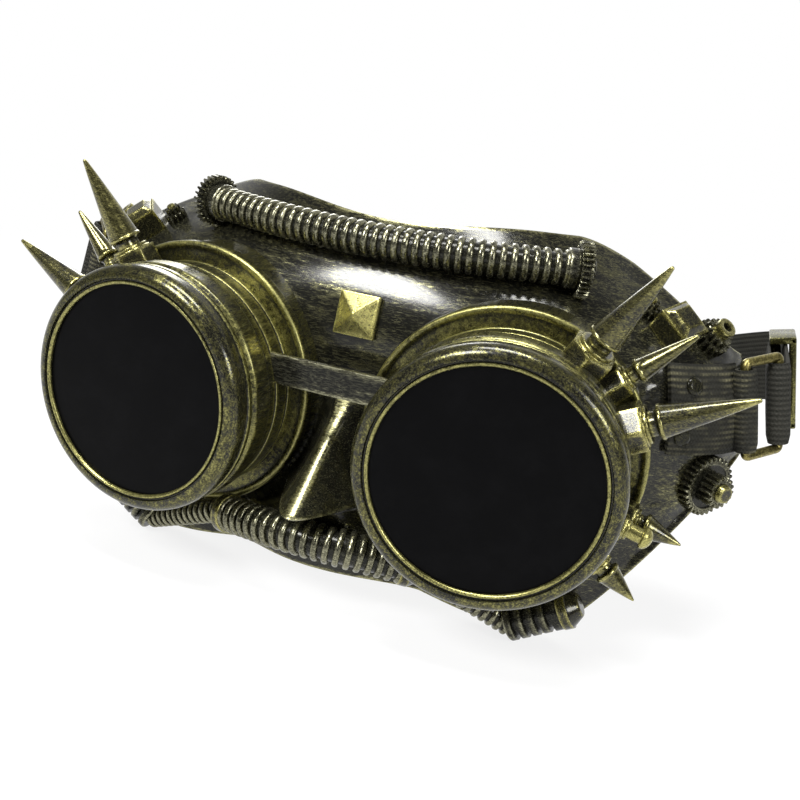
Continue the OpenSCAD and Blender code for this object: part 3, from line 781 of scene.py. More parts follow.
@cache
def material(name):
    """Each finish is made once, from the settings."""
    s = settings()
    black, gold, bright = tuple(s.black), tuple(s.gold), tuple(s.bright_gold)
    pale = tuple(0.5 * c + 0.15 for c in gold)
    pale_gold = tuple(0.75 * c + 0.075 for c in gold)
    # Paints: gold, amount, wear at the edges, streaks, and what is this paint's own
    paints = {
        "Mask paint": (pale_gold, 0.02, 0.9, 1.6, dict(stroke=(0.16, 0.5, 1), coat=0.35,
                                                       patches=1.6)),
        "Cup paint": (gold, 0.36, 0.8, 1.6, dict(stroke=(1, 0.16, 1), coat=0.15, rough=0.08,
                                                 patches=1.4)),
        "Bezel paint": (gold, 0.22, 0.8, 1.3, dict(stroke=(0.5, 1, 0.5), coat=0.2, rough=0.03)),
        "Hose paint": (pale, -0.15, 1.0, 0.9, dict(stroke=(0.4, 1, 1))),
        "Collar paint": (pale, 0.0, 0.8, 1.0, dict(stroke=(0.4, 1, 1), coat=0.2)),
        "Gear paint": (pale, -0.4, 0.9, 0.8, dict(stroke=(1, 1, 1))),
        "Stud paint": (bright, 0.05, 0.7, 1.0, dict(stroke=(1, 1, 1), coat=0.3)),
        "Bright stud paint": (bright, 0.9, 0.5, 0.7, dict(patches=0.5, hairs=0.6)),
        "Spike paint": (bright, 0.3, 0.4, 0.7, dict(stroke=(0.4, 0.4, 1), coat=0.4,
                                                    patches=1.1, hairs=0.5)),
        "Bridge paint": (pale, -0.02, 1.0, 1.3, dict(stroke=(0.2, 1, 1))),
        "Rivet paint": (gold, -0.6, 0.6, 0.8, {}),
        "Ring brass": (tuple(s.brass), 0.45, 0.6, 0.8, dict(dark=(0.02, 0.018, 0.008),
                                                            metal=1.0, bump=0.05, rough=0.08)),
        "Slider plastic": (gold, -0.2, 0.7, 0.7, {}),
    }
    if name in paints:
        colour, amount, edge, streaks, own = paints[name]
        return brushed(name, own.pop("dark", black), colour, amount, edge, streaks, **own)
    make, *values = {
        "Lens": (lens_material, s.lens),
        "Gasket rubber": (rubber_material, (0.014, 0.014, 0.014)),
        "Webbing": (webbing_material, s.webbing, (0.034, 0.033, 0.027)),
        "Tab webbing": (webbing_material, s.webbing, (0.018, 0.0175, 0.014), 0.35),
        "Stitches": (rubber_material, (0.05, 0.048, 0.04)),
    }[name]
    return make(name, *values)


# Mask


def nose_ridge_wear_and_highlight(x, z):
    """Paint rubbed off along the ridge of the nose, with a painted highlight there, fading at its
    upper and lower ends.
    """
    depth, width = 0.3, 1.9
    return depth * math.exp(-(x / width) ** 2) * ease((7 - z) / 5) * ease((z + 24) / 3)


def behind_cup(p):
    """Whether a point in the cup's frame lies in the cup's hollow, where the sheet is open."""
    return p.xy.length < 31 and p.z < -20


def face_front(bm):
    """Drops loose points and turns the sheet to the front."""
    bmesh.ops.delete(bm, geom=[v for v in bm.verts if not v.link_faces], context="VERTS")
    bmesh.ops.recalc_face_normals(bm, faces=bm.faces)
    brow = min(bm.faces, key=lambda f: abs(f.calc_center_median().x)
               + abs(f.calc_center_median().z - 0.030))
    if brow.normal.y > 0:
        bmesh.ops.reverse_faces(bm, faces=bm.faces)


def build_shell():
    """The mask: a fine sheet by the solid's rule, dented at the temples, given its wall."""
    s = settings()
    cols, rows, dents = s.shell_columns, s.shell_rows, s.dents / MM
    inverse = [cup_frame(side).inverted() for _, side in SIDES]
    pts, hidden = [], []
    for j in range(rows + 1):
        for i in range(-cols // 2, cols // 2 + 1):
            t = (abs(i) / (cols / 2)) ** 1.15
            bunched = math.sin(math.radians(80 * t)) / math.sin(math.radians(80))
            st = math.copysign(SHELL_EDGE * bunched, i)
            lo, hi = mask_low(st), mask_high(st)
            z = lo + (hi - lo) * j / rows
            x = st * half_width(z)
            temple = ease((abs(x) - 50) / 22)
            edge = ease(min(j, rows - j) / 6) * ease((cols / 2 - abs(i)) / 6)
            rough = noise.fractal(Vector((x, z, 3.0)) * 0.13, 0.9, 2.1, 3)
            fold = abs(noise.noise(Vector((x * 0.10, z * 0.16, 7.0))))
            dent = -dents * edge * (0.12 + temple * (0.5 + 0.9 * rough + 1.2 * fold))
            p = skin(st, z, min(dent, 0))
            pts.append(tuple(p))
            hidden.append(any(behind_cup(m @ p) for m in inverse))
    n = 2 * (cols // 2) + 1
    quads = [(j * n + i, j * n + i + 1, (j + 1) * n + i + 1, (j + 1) * n + i)
             for j in range(rows) for i in range(n - 1)]
    obj = raw_object("mask_skin", (pts, [q for q in quads if not all(hidden[k] for k in q)]))
    # The nose ridge's gold, partly wear and partly a painted highlight, stored on the sheet
    worn = obj.data.attributes.new("worn", "FLOAT", "POINT")
    worn.data.foreach_set("value", [nose_ridge_wear_and_highlight(x, z) for x, _, z in pts])
    edit_mesh(obj.data, face_front)
    wall = obj.modifiers.new("Wall", "SOLIDIFY")
    wall.thickness, wall.offset = WALL * MM, -1
    finish(obj, "Mask paint", "mask_shell", "mask_paint", bevel=0.35, angle=50, merge=False)


# Eye cups


def build_cups():
    """Each side's collar, barrel, screw ring, lens and gasket, all turned profiles."""
    tilt = math.tan(math.radians(8.6))
    for side, s in SIDES:
        at = cup_frame(s)
        # The collar has a bright lip in front, and its rear is cut to the face
        pts, faces = spun(rounded([
            (COLLAR_BORE, -24.5), (FLANGE_R - 1.9, -24.5), (FLANGE_R - 1.3, -24),
            (FLANGE_R - 0.4, -24), (FLANGE_R, -24.5), (FLANGE_R, -26.6),
            (FLANGE_R - 0.6, -27.2), (COLLAR_R, -29), (COLLAR_R, -42), (COLLAR_BORE, -42)],
            0.3), 128)
        cut = [(x, y, max(z, -36.5 - tilt * y) if z < -29.5 else z) for x, y, z in pts]
        piece(f"{side}_cup_collar", (cut, faces), "Cup paint", f"{side}_eye_collar", at, angle=28)
        # The barrel has a threaded neck, a raised band and two fine scribed grooves
        barrel = rounded([
            (BORE_R, -33), (BORE_R, -3.7), (NECK_R, -3.7), (NECK_R, -8.1), (28.3, -8.1),
            (RING_R - 0.2, -9), (RING_R, -9.6), (RING_R, -13.8), (RING_R - 0.2, -14.4),
            (BARREL_R, -14.9), (BARREL_R, -17.6), (BARREL_R - 0.35, -17.8),
            (BARREL_R - 0.35, -18.3), (BARREL_R, -18.5), (BARREL_R, -22.6),
            (BARREL_R - 0.3, -22.8), (BARREL_R - 0.3, -23.3), (BARREL_R, -23.5),
            (BARREL_R, -24.5), (COLLAR_BORE - 0.15, -24.5), (COLLAR_BORE - 0.15, -33)], 0.22)
        piece(f"{side}_cup_barrel", spun(barrel, 128), "Cup paint", f"{side}_barrel", at,
              angle=28)
        # The screw ring has a thin inner lip, a groove, a round bezel and a bead at the rear
        ring = rounded([(LENS_R, -1.0), (LENS_R, -0.45), (LENS_R + 0.35, -0.1),
                        (LENS_R + 0.75, -0.12), (LENS_R + 1.0, -0.75), (LENS_R + 1.25, -0.72)],
                       0.14, closed=False)
        ring += [(RING_R - 3 + 3 * math.sin(math.radians(a)), -3 + 3 * math.cos(math.radians(a)))
                 for a in range(0, 91, 10)]
        ring += rounded([
            (RING_R, -4.7), (RING_R - 0.6, -5.0), (RING_R - 0.6, -5.7), (RING_R - 0.1, -6.0),
            (RING_R - 0.15, -7.2), (RING_R - 0.9, -RING_DEPTH), (NECK_R + 0.06, -RING_DEPTH),
            (NECK_R + 0.06, -1.0)], 0.18, closed=False)
        piece(f"{side}_screw_ring", spun(ring, 144), "Bezel paint", f"{side}_bezel_ring", at,
              body=f"{side}_ring_body", angle=28)
        # The lens is very slightly crowned, with a ground edge
        lens = [(0, -3.08)] + rounded([(0, -3.1), (26.2, -3.1), (26.2, -1.12)], 0.2,
                                      closed=False)[1:]
        lens += [(24.8, -1.1), (16, -1.06), (8, -1.03), (0, -1.02)]
        piece(f"{side}_dark_lens", spun(lens, 96), "Lens", f"{side}_lens", at,
              slot="dark_lens", body=f"{side}_lens_body")
        seal = rounded([(24.2, -3.65), (26.0, -3.65), (26.0, -3.12), (24.2, -3.12)], 0.12)
        piece(f"{side}_lens_seal", spun(seal, 96), "Gasket rubber", f"{side}_lens_gasket", at,
              slot="gasket_rubber", body=f"{side}_lens_body")


def build_bridge():
    """The bar between the cups and the pyramid stud on the brow."""
    bar = [[(-15.6 + 31.2 * k / 24, y, z) for y, z in ((-30.4, 5.7), (-28.8, 5.7),
                                                       (-28.8, 12.9), (-30.4, 12.9))]
           for k in range(25)]
    piece("bridge_strip", swept(bar), "Bridge paint", "bridge_bar", bevel=0.3, step=0.9)
    at = on_face(1, 0.0001, 22.8, 0.1, 90)
    stem = spun([(0, -1.5), (2, -1.5), (2, 0.2), (0, 0.2)], 24)
    stud = pyramid(((4.95, 0.9), (4.95, 1.25), (3.4, 2.2), (1.7, 3.25), (0.25, 4.15)))
    piece("brow_pyramid", joined((at, box((-5.2, -5.2, 0), (5.2, 5.2, 1.2))), (at, stud),
                                 (at, stem)),
          "Bright stud paint", "brow_stud", slot="stud_metal", bevel=0.28, step=0.9)


# Hoses

BROW_LEVEL, BROW_R, BROW_STRAIGHT, BROW_END = 38, 4.3, 37, CUP_X + 0.8
NOSE_R, NOSE_STRAIGHT, NOSE_END = 4.7, 14.5, 23
# Half a rib's width against its pitch, and a hose's length against its span
RIB_SHARE, HOSE_SLACK = 0.34, 1.03


def brow_on_face(x):
    """The brow hose's middle line where it lies on the mask."""
    return skin(station(x, BROW_LEVEL), BROW_LEVEL, BROW_R + 0.15)


def nose_bow(x):
    """The nose hose's middle line where it bows under the nose."""
    return Vector((x, 11.5 - LENS_FRONT + 7.5 * (x / 23) ** 2,
                   NOSE_TIP - 8.9 - 3.2 * (x / 23) ** 2))


def slope(curve, x):
    return (curve(x) - curve(x - 1)).normalized()


BROW_SLOPE = slope(brow_on_face, BROW_STRAIGHT)
NOSE_SLOPE = slope(nose_bow, NOSE_STRAIGHT)


def hose_path(curve, straight, way, x):
    """A hose's middle line: the curve, and straight on past a place on each side."""
    a = abs(x)
    p = curve(a) if a < straight else curve(straight) + way * (a - straight) / way.x
    return Vector((math.copysign(p.x, x), p.y, p.z))


def brow_path(x):
    return hose_path(brow_on_face, BROW_STRAIGHT, BROW_SLOPE, x)


def nose_path(x):
    return hose_path(nose_bow, NOSE_STRAIGHT, NOSE_SLOPE, x)


def rib_object(crest, root, half):
    """One rounded rib as a closed ring round local Z, in metres at the origin."""
    arc = [(root + (crest - root) * math.sin(math.pi * k / 8) ** 0.55, -half * math.cos(
        math.pi * k / 8)) for k in range(9)]
    obj = raw_object("rib", spun([(root - 0.4, -half)] + arc + [(root - 0.4, half)], 32))
    tidy_normals(obj.data)
    return obj


def ribbed(name, points, ribs, rib, tube):
    """Ribs along a line with a plain tube inside them."""
    return grow(line_object(name, points), copies_along_tree(), {
        "Count": ribs, "Tube Radius": tube * MM, "Copy": rib,
        "Material": material("Hose paint")})


def build_hoses():
    """Both ribbed hoses and their end collars."""
    s = settings()
    for name, node, path, end, crest, depth, ribs in (
            ("brow_ribbed_hose", "top_hose", brow_path, BROW_END, BROW_R, 0.85, s.brow_ribs),
            ("nose_ribbed_hose", "lower_hose", nose_path, NOSE_END, NOSE_R, 0.95, s.nose_ribs)):
        points = [path(end * (k / 60 - 1)) for k in range(121)]
        rib = rib_object(crest, crest - depth, RIB_SHARE * (2 * end * HOSE_SLACK) / ribs)
        hose = ribbed(name, points, ribs, rib, crest - depth - 0.05)
        finish(hose, "Hose paint", node, merge=False)
    for side, s in SIDES:
        at = flip(s) @ along(brow_path(BROW_END), BROW_SLOPE)
        r = BROW_R
        piece(f"{side}_hose_end", lathe([
            (0, 0), (r + 0.3, 0), (r + 0.5, 0.3), (r + 0.5, 2.3), (r + 0.3, 2.6), (0, 2.6)],
            0.25, 48), "Collar paint", f"{side}_brow_collar", at)
        at = flip(s) @ along(nose_path(NOSE_END), NOSE_SLOPE)
        r = NOSE_R
        piece(f"{side}_nose_hose_end", lathe([
            (0, 0), (r + 0.1, 0), (r + 0.3, 0.3), (r + 0.3, 2.3), (r + 0.05, 2.6), (3.3, 4.9),
            (0, 5)], 0.25, 48), "Stud paint", f"{side}_nose_collar", at)


# Spikes and studs: angle round the cup, depth, lean, flats and height of the base

SPIKES = {"spike_a": (60, 18.4, 12, 10, 5), "spike_b": (43.5, 20.6, 0, 6.6, 5),
          "spike_c": (26, 17.4, 3, 10, 5)}
THORNS = ((-14, 20, 8, 7, 4.6), (-36, 18.5, 4, 7.4, 4.6))
CHEEK_BOLT = (-13, 11.4, 6, 5.4, 2.6)
SPIKE_FORM = {"spike_a": (4, 21), "spike_b": (2.8, 14.5), "spike_c": (4, 21)}


def hex_base(flats, h):
    """A hexagon nut with a turned top face and a washer on it."""
    nut = prism(polygon(flats / 2 / math.cos(math.pi / 6), 6), h - 0.35)
    top = lathe([(0, h - 0.4), (flats / 2 - 0.15, h - 0.4), (flats / 2 - 0.35, h), (0, h)],
                0.15, 36)
    washer = lathe([(0, h - 0.1), (flats * 0.43, h - 0.1), (flats * 0.43, h + 0.7),
                    (0, h + 0.7)], 0.2, 36)
    return nut, top, washer


def spike_profile(r, h, neck, tip=0.5):
    """Neck, flared foot and a faintly full cone with a blunt tip."""
    foot = rounded([(0, 0), (r * 0.72, 0), (r * 0.7, neck * 0.8), (r * 0.86, neck),
                    (r, neck + 0.15), (r, neck + 0.75), (r * 0.93, neck + 1.0)], 0.2, 2,
                   closed=False)
    run = h - 1 - tip
    cone = [(tip + (r * 0.93 - tip) * (1 - t) ** 0.94, neck + 1.0 + run * t)
            for t in (0.08, 0.2, 0.32, 0.44, 0.56, 0.68, 0.8, 0.9, 1)]
    end = [(tip * math.cos(math.radians(a)), neck + h - tip + tip * math.sin(math.radians(a)))
           for a in (25, 50, 75)]
    return foot + cone + end + [(0, neck + h)]


def build_spikes():
    """The spikes, thorns, round bolt and square stud of each side, and their bases."""
    seat = 1.7  # the base's washer, which the stud stands on
    for side, s in SIDES:
        bases = [(at_stud(s, stud), shape) for stud in (*SPIKES.values(), *THORNS, CHEEK_BOLT)
                 for shape in hex_base(stud[3], stud[4] + 1)]
        piece(f"{side}_hex_bases", joined(*bases), "Stud paint", f"{side}_stud_bases",
              slot="stud_metal", bevel=0.22, step=0.9)
        for key, (r, h) in SPIKE_FORM.items():
            at = at_stud(s, SPIKES[key], SPIKES[key][4] + seat)
            piece(f"{side}_{key}_cone", spun(spike_profile(r, h, 2.0), 40), "Spike paint",
                  f"{side}_{key}", at, slot="stud_metal")
        thorns = [(at_stud(s, t, t[4] + seat), spun(spike_profile(3, 9, 1.5, 0.3), 32))
                  for t in THORNS]
        piece(f"{side}_thorn_pair", joined(*thorns), "Spike paint", f"{side}_thorns")
        dome = [(2.5 * math.cos(math.radians(a)), 3.3 + 2.0 * math.sin(math.radians(a)))
                for a in range(0, 90, 12)]
        bolt = [(0, 0), (1.7, 0), (1.7, 2.9), (2.3, 3.0)] + dome + [(0, 5.3)]
        piece(f"{side}_round_bolt", spun(bolt, 32), "Bright stud paint", f"{side}_cheek_bolt",
              at_stud(s, CHEEK_BOLT, CHEEK_BOLT[4] + seat), slot="stud_metal")
        at = on_face(s, *BLOCK_AT, -0.8, 25)
        cap = pyramid(((4.0, 6.3), (4.0, 6.6), (2.6, 8.1)), 0.9)
        piece(f"{side}_square_stud", joined((at, box((-4.5, -4, 0), (4.5, 4, 6.5))), (at, cap)),
              "Stud paint", f"{side}_block_stud", slot="stud_metal", bevel=0.3, step=0.9)


# Gears


def gear(at, r, teeth, h, tooth):
    """A spur gear: a turned blank with a sunk web, and teeth set round it."""
    root, web, cut = r - tooth, 0.35, 0.15
    blank = [(0, 0), (root, 0), (root, h), (root - 0.9, h), (root - 1.1, h - web),
             (root * 0.45, h - web), (root * 0.42, h), (0, h)]
    obj = raw_object("wheel", spun(rounded(blank, 0.15, closed=False), 64, closed=False))
    tidy_normals(obj.data)
    half = math.pi / teeth
    flank = ((-0.6, 0.62), (0.0, 0.62), (tooth - 0.12, 0.32), (tooth, 0.22))
    outline = [(x, -r * math.sin(half * w)) for x, w in flank]
    outline += [(x, r * math.sin(half * w)) for x, w in reversed(flank)]
    inner = [(x - cut if x > 0.5 else x, y * 0.86) for x, y in outline]
    copy = raw_object("tooth", swept([[(x, y, z) for x, y in line] for line, z in (
        (inner, 0), (outline, cut), (outline, h - cut), (inner, h))]))
    tidy_normals(copy.data)
    grow(obj, copies_round_tree(), {"Count": teeth, "Radius": root * MM, "Copy": copy,
                                    "Material": material("Gear paint")})
    for v in obj.data.vertices:
        v.co = MM * (at @ (v.co / MM))
    if at.determinant() < 0:
        obj.data.flip_normals()
    return obj


def screw_head(r, h):
    """A low domed screw head."""
    return spun([(0, 0), (r, 0), (r, h * 0.45), (r * 0.85, h * 0.8), (r * 0.45, h), (0, h)],
                32, closed=False)


# Pieces of wheels on the mask: piece, node, and each wheel's place, height off the mask, radius,
# teeth, thickness and depth of tooth
COGS = (("temple_cog", "temple_gear", ((TEMPLE_AT, -0.8, 4.6, 16, 2.9, 0.9),)),
        ("small_cogs", "temple_pinions", ((TEMPLE_AT, 2.1, 3.6, 13, 2, 0.9),
                                          (PINION_AT, -0.8, 2.8, 11, 2.8, 0.8),
                                          (PINION_AT, 2, 2, 9, 1.6, 0.6))),
        ("cheek_cog", "cheek_gear", ((CHEEK_AT, -0.8, 7.4, 30, 2.8, 0.9),)),
        ("cheek_small_cog", "cheek_pinion", ((CHEEK_AT, 2, 4, 16, 3.8, 0.8),)))
BROW_COG = (6.7, 30, 2.8, 1)


def build_gears():
    """The ornament gears of each side and the screws that hold them."""
    for side, s in SIDES:
        at = flip(s) @ along(brow_path(BROW_END), BROW_SLOPE)
        hub = raw_object("hub", spun(rounded([(0, 5.2), (3.4, 5.2), (2.6, 6.6), (0, 6.6)], 0.3, 3,
                                             closed=False), 40, closed=False), at)
        cog = gear(at @ Matrix.Translation((0, 0, 2.6)), *BROW_COG)
        finish(fused(f"{side}_brow_cog", [cog, hub]), "Gear paint", f"{side}_brow_gear",
               merge=False)
        for name, node, wheels in COGS:
            made = [gear(on_face(s, *place, off), *sizes) for place, off, *sizes in wheels]
            finish(fused(f"{side}_{name}", made), "Gear paint", f"{side}_{node}", merge=False)
        ring = spun(rounded([(1.2, 0), (2.4, 0), (2.4, 2), (1.2, 2)], 0.2), 40)
        cap = lathe([(0, 0), (2.4, 0), (2.0, 1.4), (0, 1.4)], 0.3, 40, 3)
        screws = [(on_face(s, *place, off), shape) for place, off, shape in (
            (TEMPLE_AT, 4.1, ring), (CHEEK_AT, 5.8, cap), (PINION_AT, 3.6, screw_head(1.1, 0.8)))]
        piece(f"{side}_hub_screws", joined(*screws), "Stud paint", f"{side}_gear_hubs",
              slot="stud_metal")


# Vents

VENT_FROM, VENT_TO = Vector((49.5, -20, -42.6)), Vector((66.5, -18.5, -32.8))
VENT_R, VENT_LONG, SLOTS, SLOT_FROM, SLOT_PITCH, SLOT_DEPTH = 4.6, 13.4, 4, 1.8, 2.8, 1.1


def build_vents():
    """The slotted canister, its ribbed neck and its end cap under each cup."""
    for side, s in SIDES:
        neck = nose_path(NOSE_END) + NOSE_SLOPE * 5
        run = VENT_FROM - neck
        line = ribbed(f"{side}_fine_neck", [flip(s) @ (neck + run * k / 24) for k in range(25)],
                      13, rib_object(3.2, 2.6, 0.62), 2.55)
        at = flip(s) @ along(VENT_FROM, VENT_TO - VENT_FROM)
        body = rounded([(0, 0), (VENT_R - 0.3, 0), (VENT_R, 0.4), (VENT_R, 1.6)], 0.2,
                       closed=False)
        for k in range(SLOTS):
            z = SLOT_FROM + SLOT_PITCH * k
            body += [(VENT_R, z), (VENT_R - SLOT_DEPTH, z + 0.15),
                     (VENT_R - SLOT_DEPTH, z + 1.1), (VENT_R, z + 1.3), (VENT_R, z + 2.6)]
        body += [(VENT_R, VENT_LONG), (0, VENT_LONG)]
        canister = raw_object("canister", spun(body, 48), at)
        tidy_normals(canister.data)
        finish(fused(f"{side}_slotted_vent", [line, canister]), "Hose paint", f"{side}_vent",
               merge=False)
        cap = lathe([(0, VENT_LONG), (VENT_R + 0.3, VENT_LONG), (VENT_R + 0.3, 15.8),
                     (VENT_R, 15.8), (2.6, 18.6), (0, 18.6)], 0.4, 48, 3)
        piece(f"{side}_vent_end", cap, "Stud paint", f"{side}_vent_cap", at, slot="stud_metal")


# Strap. A section is a centre, the direction across the band and the direction up it.

UP = Vector((-math.sin(STRAP_LEAN), 0, math.cos(STRAP_LEAN)))
OUT = Vector((math.cos(STRAP_LEAN), 0, math.sin(STRAP_LEAN)))
BACK = Vector((0, 1, 0))
STRAP_LOOP, STRAP_DROP, SEWN = 55, 17, 26


def turn_section(c, degrees):
    """The webbing round a bar at c."""
    a = math.radians(degrees)
    w = math.cos(a) * OUT + math.sin(a) * BACK
    return c + LAYER * w, w, UP


def head_curve(degrees):
    """The band round the back of the head, from the side at 0 to the middle at 90."""
    a = math.radians(degrees)
    return Vector((LOOP_AT.x * math.cos(a) * (1 - 0.19 * math.sin(2 * a) ** 2),
                   STRAIGHT_TO + STRAP_LOOP * math.sin(a),
                   LOOP_AT.z - STRAP_DROP * ease(degrees / 45)))


def head_section(a):
    d = (head_curve(a + 0.5) - head_curve(a - 0.5)).normalized()
    n = Vector((d.y, -d.x, 0)).normalized()
    lean = Vector((-n.x * math.sin(STRAP_LEAN), -n.y * math.sin(STRAP_LEAN),
                   math.cos(STRAP_LEAN)))
    w = d.cross(lean).normalized()
    return head_curve(a) + LAYER * w, w, w.cross(d)


def mirror_section(q):
    """The same section on the other side."""
    return tuple(Vector((-v.x, v.y, v.z)) for v in q)


def sewn_section(y):
    """The sewn end, which crosses over to lie on the band."""
    x = -LAYER + SEWN_SHIFT * ease(y / 10)
    return LOOP_AT + x * OUT + Vector((0, y, 0)), -OUT, UP


def lay_uv(obj, uvs):
    """Gives every point its place on the cloth, and turns the faces outwards."""
    layer = obj.data.uv_layers.new(name="UVMap")
    layer.data.foreach_set("uv", [c for loop in obj.data.loops for c in uvs[loop.vertex_index]])
    tidy_normals(obj.data, 0)
    return obj


def ribbon(name, sections, thick=STRAP_THICK):
    """A woven band with rounded edges through the sections, with its UV map."""
    h, t = STRAP_WIDTH / 2 - 0.02, thick / 2 - 0.02
    cross = []
    for sign in (1, -1):
        for k in range(11):
            v = sign * (1 - 2 * k / 10)
            cross.append((sign * t * (1 - 0.55 * abs(v) ** 14), v * h))
    rings, uvs, u = [], [], 0.0
    for i, (c, w, up) in enumerate(sections):
        if i:
            u += (c - sections[i - 1][0]).length
        rings.append([c + w * a + up * b for a, b in cross])
        uvs += [(u * MM, (b + h) * MM) for _, b in cross]
    return lay_uv(raw_object(name, swept(rings)), uvs)


def stitches(name, rows, body):
    """Rows of thread, each from a start to an end."""
    made = []
    for a, b in rows:
        copy = raw_object("thread", spun([(0, -0.9), (0.2, -0.8), (0.26, -0.4), (0.26, 0.4),
                                          (0.2, 0.8), (0, 0.9)], 8, closed=False))
        tidy_normals(copy.data)
        line = line_object(name, [a + (b - a) * k / 8 for k in range(9)])
        made.append(grow(line, copies_along_tree(), {
            "Count": max(2, round((b - a).length / (settings().stitch / MM))),
            "Tube Radius": 0.08 * MM, "Copy": copy, "Material": material("Stitches")}))
    finish(fused(name, made), "Stitches", slot="webbing", body=body, merge=False)


def build_strap():
    """The long band, its return layer and folded end, then the slider, tabs and rings."""
    half = [turn_section(LOOP_AT, a) for a in range(180, 361, 10)]
    length = STRAIGHT_TO - LOOP_AT.y
    half += [turn_section(LOOP_AT + Vector((0, length * k / 20, 0)), 0) for k in range(1, 21)]
    half += [head_section(a) for a in range(2, 90, 2)]
    band = half + [mirror_section(q) for q in reversed(half)]
    band += [mirror_section(sewn_section(y)) for y in range(2, SEWN, 2)]
    finish(ribbon("head_band", band), "Webbing", "strap", "webbing", merge=False)
    # The inner return layer runs from the loop to just short of the slider
    stop = SLIDER_AT - 6
    flat = [(LOOP_AT - LAYER * OUT + Vector((0, (stop - LOOP_AT.y) * k / 16, 0)), OUT, UP)
            for k in range(17)]
    obj = finish(ribbon("return_layer", flat), "Webbing", "strap_return", "webbing", None,
                 merge=False)
    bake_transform(obj)
    # The end of the webbing is folded round the slider's bar
    centre = Vector((LOOP_AT.x, SLIDER_AT, LOOP_AT.z))
    ends = [(centre - LAYER * OUT + Vector((0, y, 0)), -OUT, UP) for y in (-6, -4.5, -3, -1.5)]
    for a in range(0, 271, 15):
        c, d = math.cos(math.radians(180 - a)), math.sin(math.radians(180 - a))
        w = c * OUT + d * BACK
        ends.append((centre + FOLD * OUT + w * (SLIDER_BAR_R + 0.55), w if a else -OUT, UP))
    finish(ribbon("folded_end", ends, 0.95), "Webbing", "strap_end", "webbing", "slider_body",
           merge=False)
    # The seam is on the sewn side, the left
    seam = []
    for y in (13, 23):
        p = LOOP_AT + Vector((0, y, 0)) + OUT * (-LAYER + SEWN_SHIFT - STRAP_THICK / 2)
        seam.append([Vector((-q.x, q.y, q.z)) for q in (p - UP * 8.2, p + UP * 8.2)])
    stitches("left_strap_seam", seam, "mask")
    build_slider(centre)
    for side, s in SIDES:
        build_tab(side, s)
        build_ring(side, s)


def build_slider(centre):
    """A three-bar slider: two rails, two outer bars and a round middle bar."""
    half, outside = STRAP_WIDTH / 2, LAYER + STRAP_THICK / 2 + 0.3
    at = Matrix.Translation(centre) @ Matrix.Rotation(-STRAP_LEAN, 4, "Y")
    shapes = [box((-1.9, -7, z), (outside + 1.5, 7, z + 1.8)) for z in (-half - 2.2, half + 0.4)]
    shapes += [box((outside, y, -half - 2.1), (outside + 1.5, y + 1.6, half + 2.1))
               for y in (-7, 5.4)]
    like = {"slot": "slider_plastic", "body": "slider_body"}
    piece("slider_frame", joined(*[(at, shape) for shape in shapes]), "Slider plastic", "slider",
          bevel=0.45, **like)
    bar = spun([(0, -half - 2.1), (SLIDER_BAR_R, -half - 2.1), (SLIDER_BAR_R, half + 2.1),
                (0, half + 2.1)], 24)
    piece("slider_bar", bar, "Slider plastic", at=at @ Matrix.Translation((FOLD, 0, 0)), **like)


def build_tab(side, s):
    """The webbing tab, its loop round the ring's bar and its two rivets."""
    loop = []
    for a in range(0, 361, 12):
        w = math.cos(math.radians(a)) * OUT + math.sin(math.radians(a)) * BACK
        loop.append((BAR_AT + w * LAYER, w, UP))
    if s < 0:
        loop = [mirror_section(q) for q in loop]
    obj = fused(f"{side}_webbing_tab", [tab_ribbon(f"{side}_tab_flat", s),
                                        ribbon(f"{side}_tab_loop", loop)])
    finish(obj, "Tab webbing", f"{side}_strap_tab", "tab_webbing", merge=False)
    rivets = []
    for z in (-5.5, 5.5):
        at = on_face(s, TAB_X + 2.2, TAB_LEVEL + z, -2.4)
        rivets += [(at, spun([(0, 0), (2.0, 0), (1.8, 0.35), (1.2, 0.4), (1.2, 4.1), (0, 4.1)],
                             32)),
                   (at, lathe([(0, 4.0), (2.2, 4.2), (2.1, 4.6), (1.4, 5.0), (0, 5.0)], 0.15,
                              32))]
    piece(f"{side}_rivet_pair", joined(*rivets), "Rivet paint", f"{side}_tab_rivets",
          slot="stud_metal")


def tab_ribbon(name, s):
    """The flat of the tab, laid on the mask, with the webbing's UV map."""
    cols, rows, start, stop = 40, 10, TAB_X / HALF_WIDTH, 0.955
    pts, uvs = [], []
    for off, side in ((1.8, 1), (0.22, -1)):
        for i in range(cols + 1):
            st = start + (stop - start) * i / cols
            for j in range(rows + 1):
                v = j / rows
                soft = 0.45 * abs(2 * v - 1) ** 14 * side
                p = skin(st, TAB_LEVEL - TAB_HALF + 2 * TAB_HALF * v, off - soft)
                pts.append((s * p.x, p.y, p.z))
                uvs.append(((st - start) * HALF_WIDTH * MM, v * 2 * TAB_HALF * MM))
    n, m = rows + 1, (cols + 1) * (rows + 1)
    faces = []
    for i in range(cols):
        for j in range(rows):
            a = i * n + j
            faces += [(a, a + n, a + n + 1, a + 1), (m + a, m + a + 1, m + a + n + 1, m + a + n)]
        a, b = i * n, i * n + rows
        faces += [(a, m + a, m + a + n, a + n), (b, b + n, m + b + n, m + b)]
    for j in range(rows):
        a, b = j, cols * n + j
        faces += [(a, a + 1, m + a + 1, m + a), (b, m + b, m + b + 1, b + 1)]
    return lay_uv(raw_object(name, (pts, faces)), uvs)


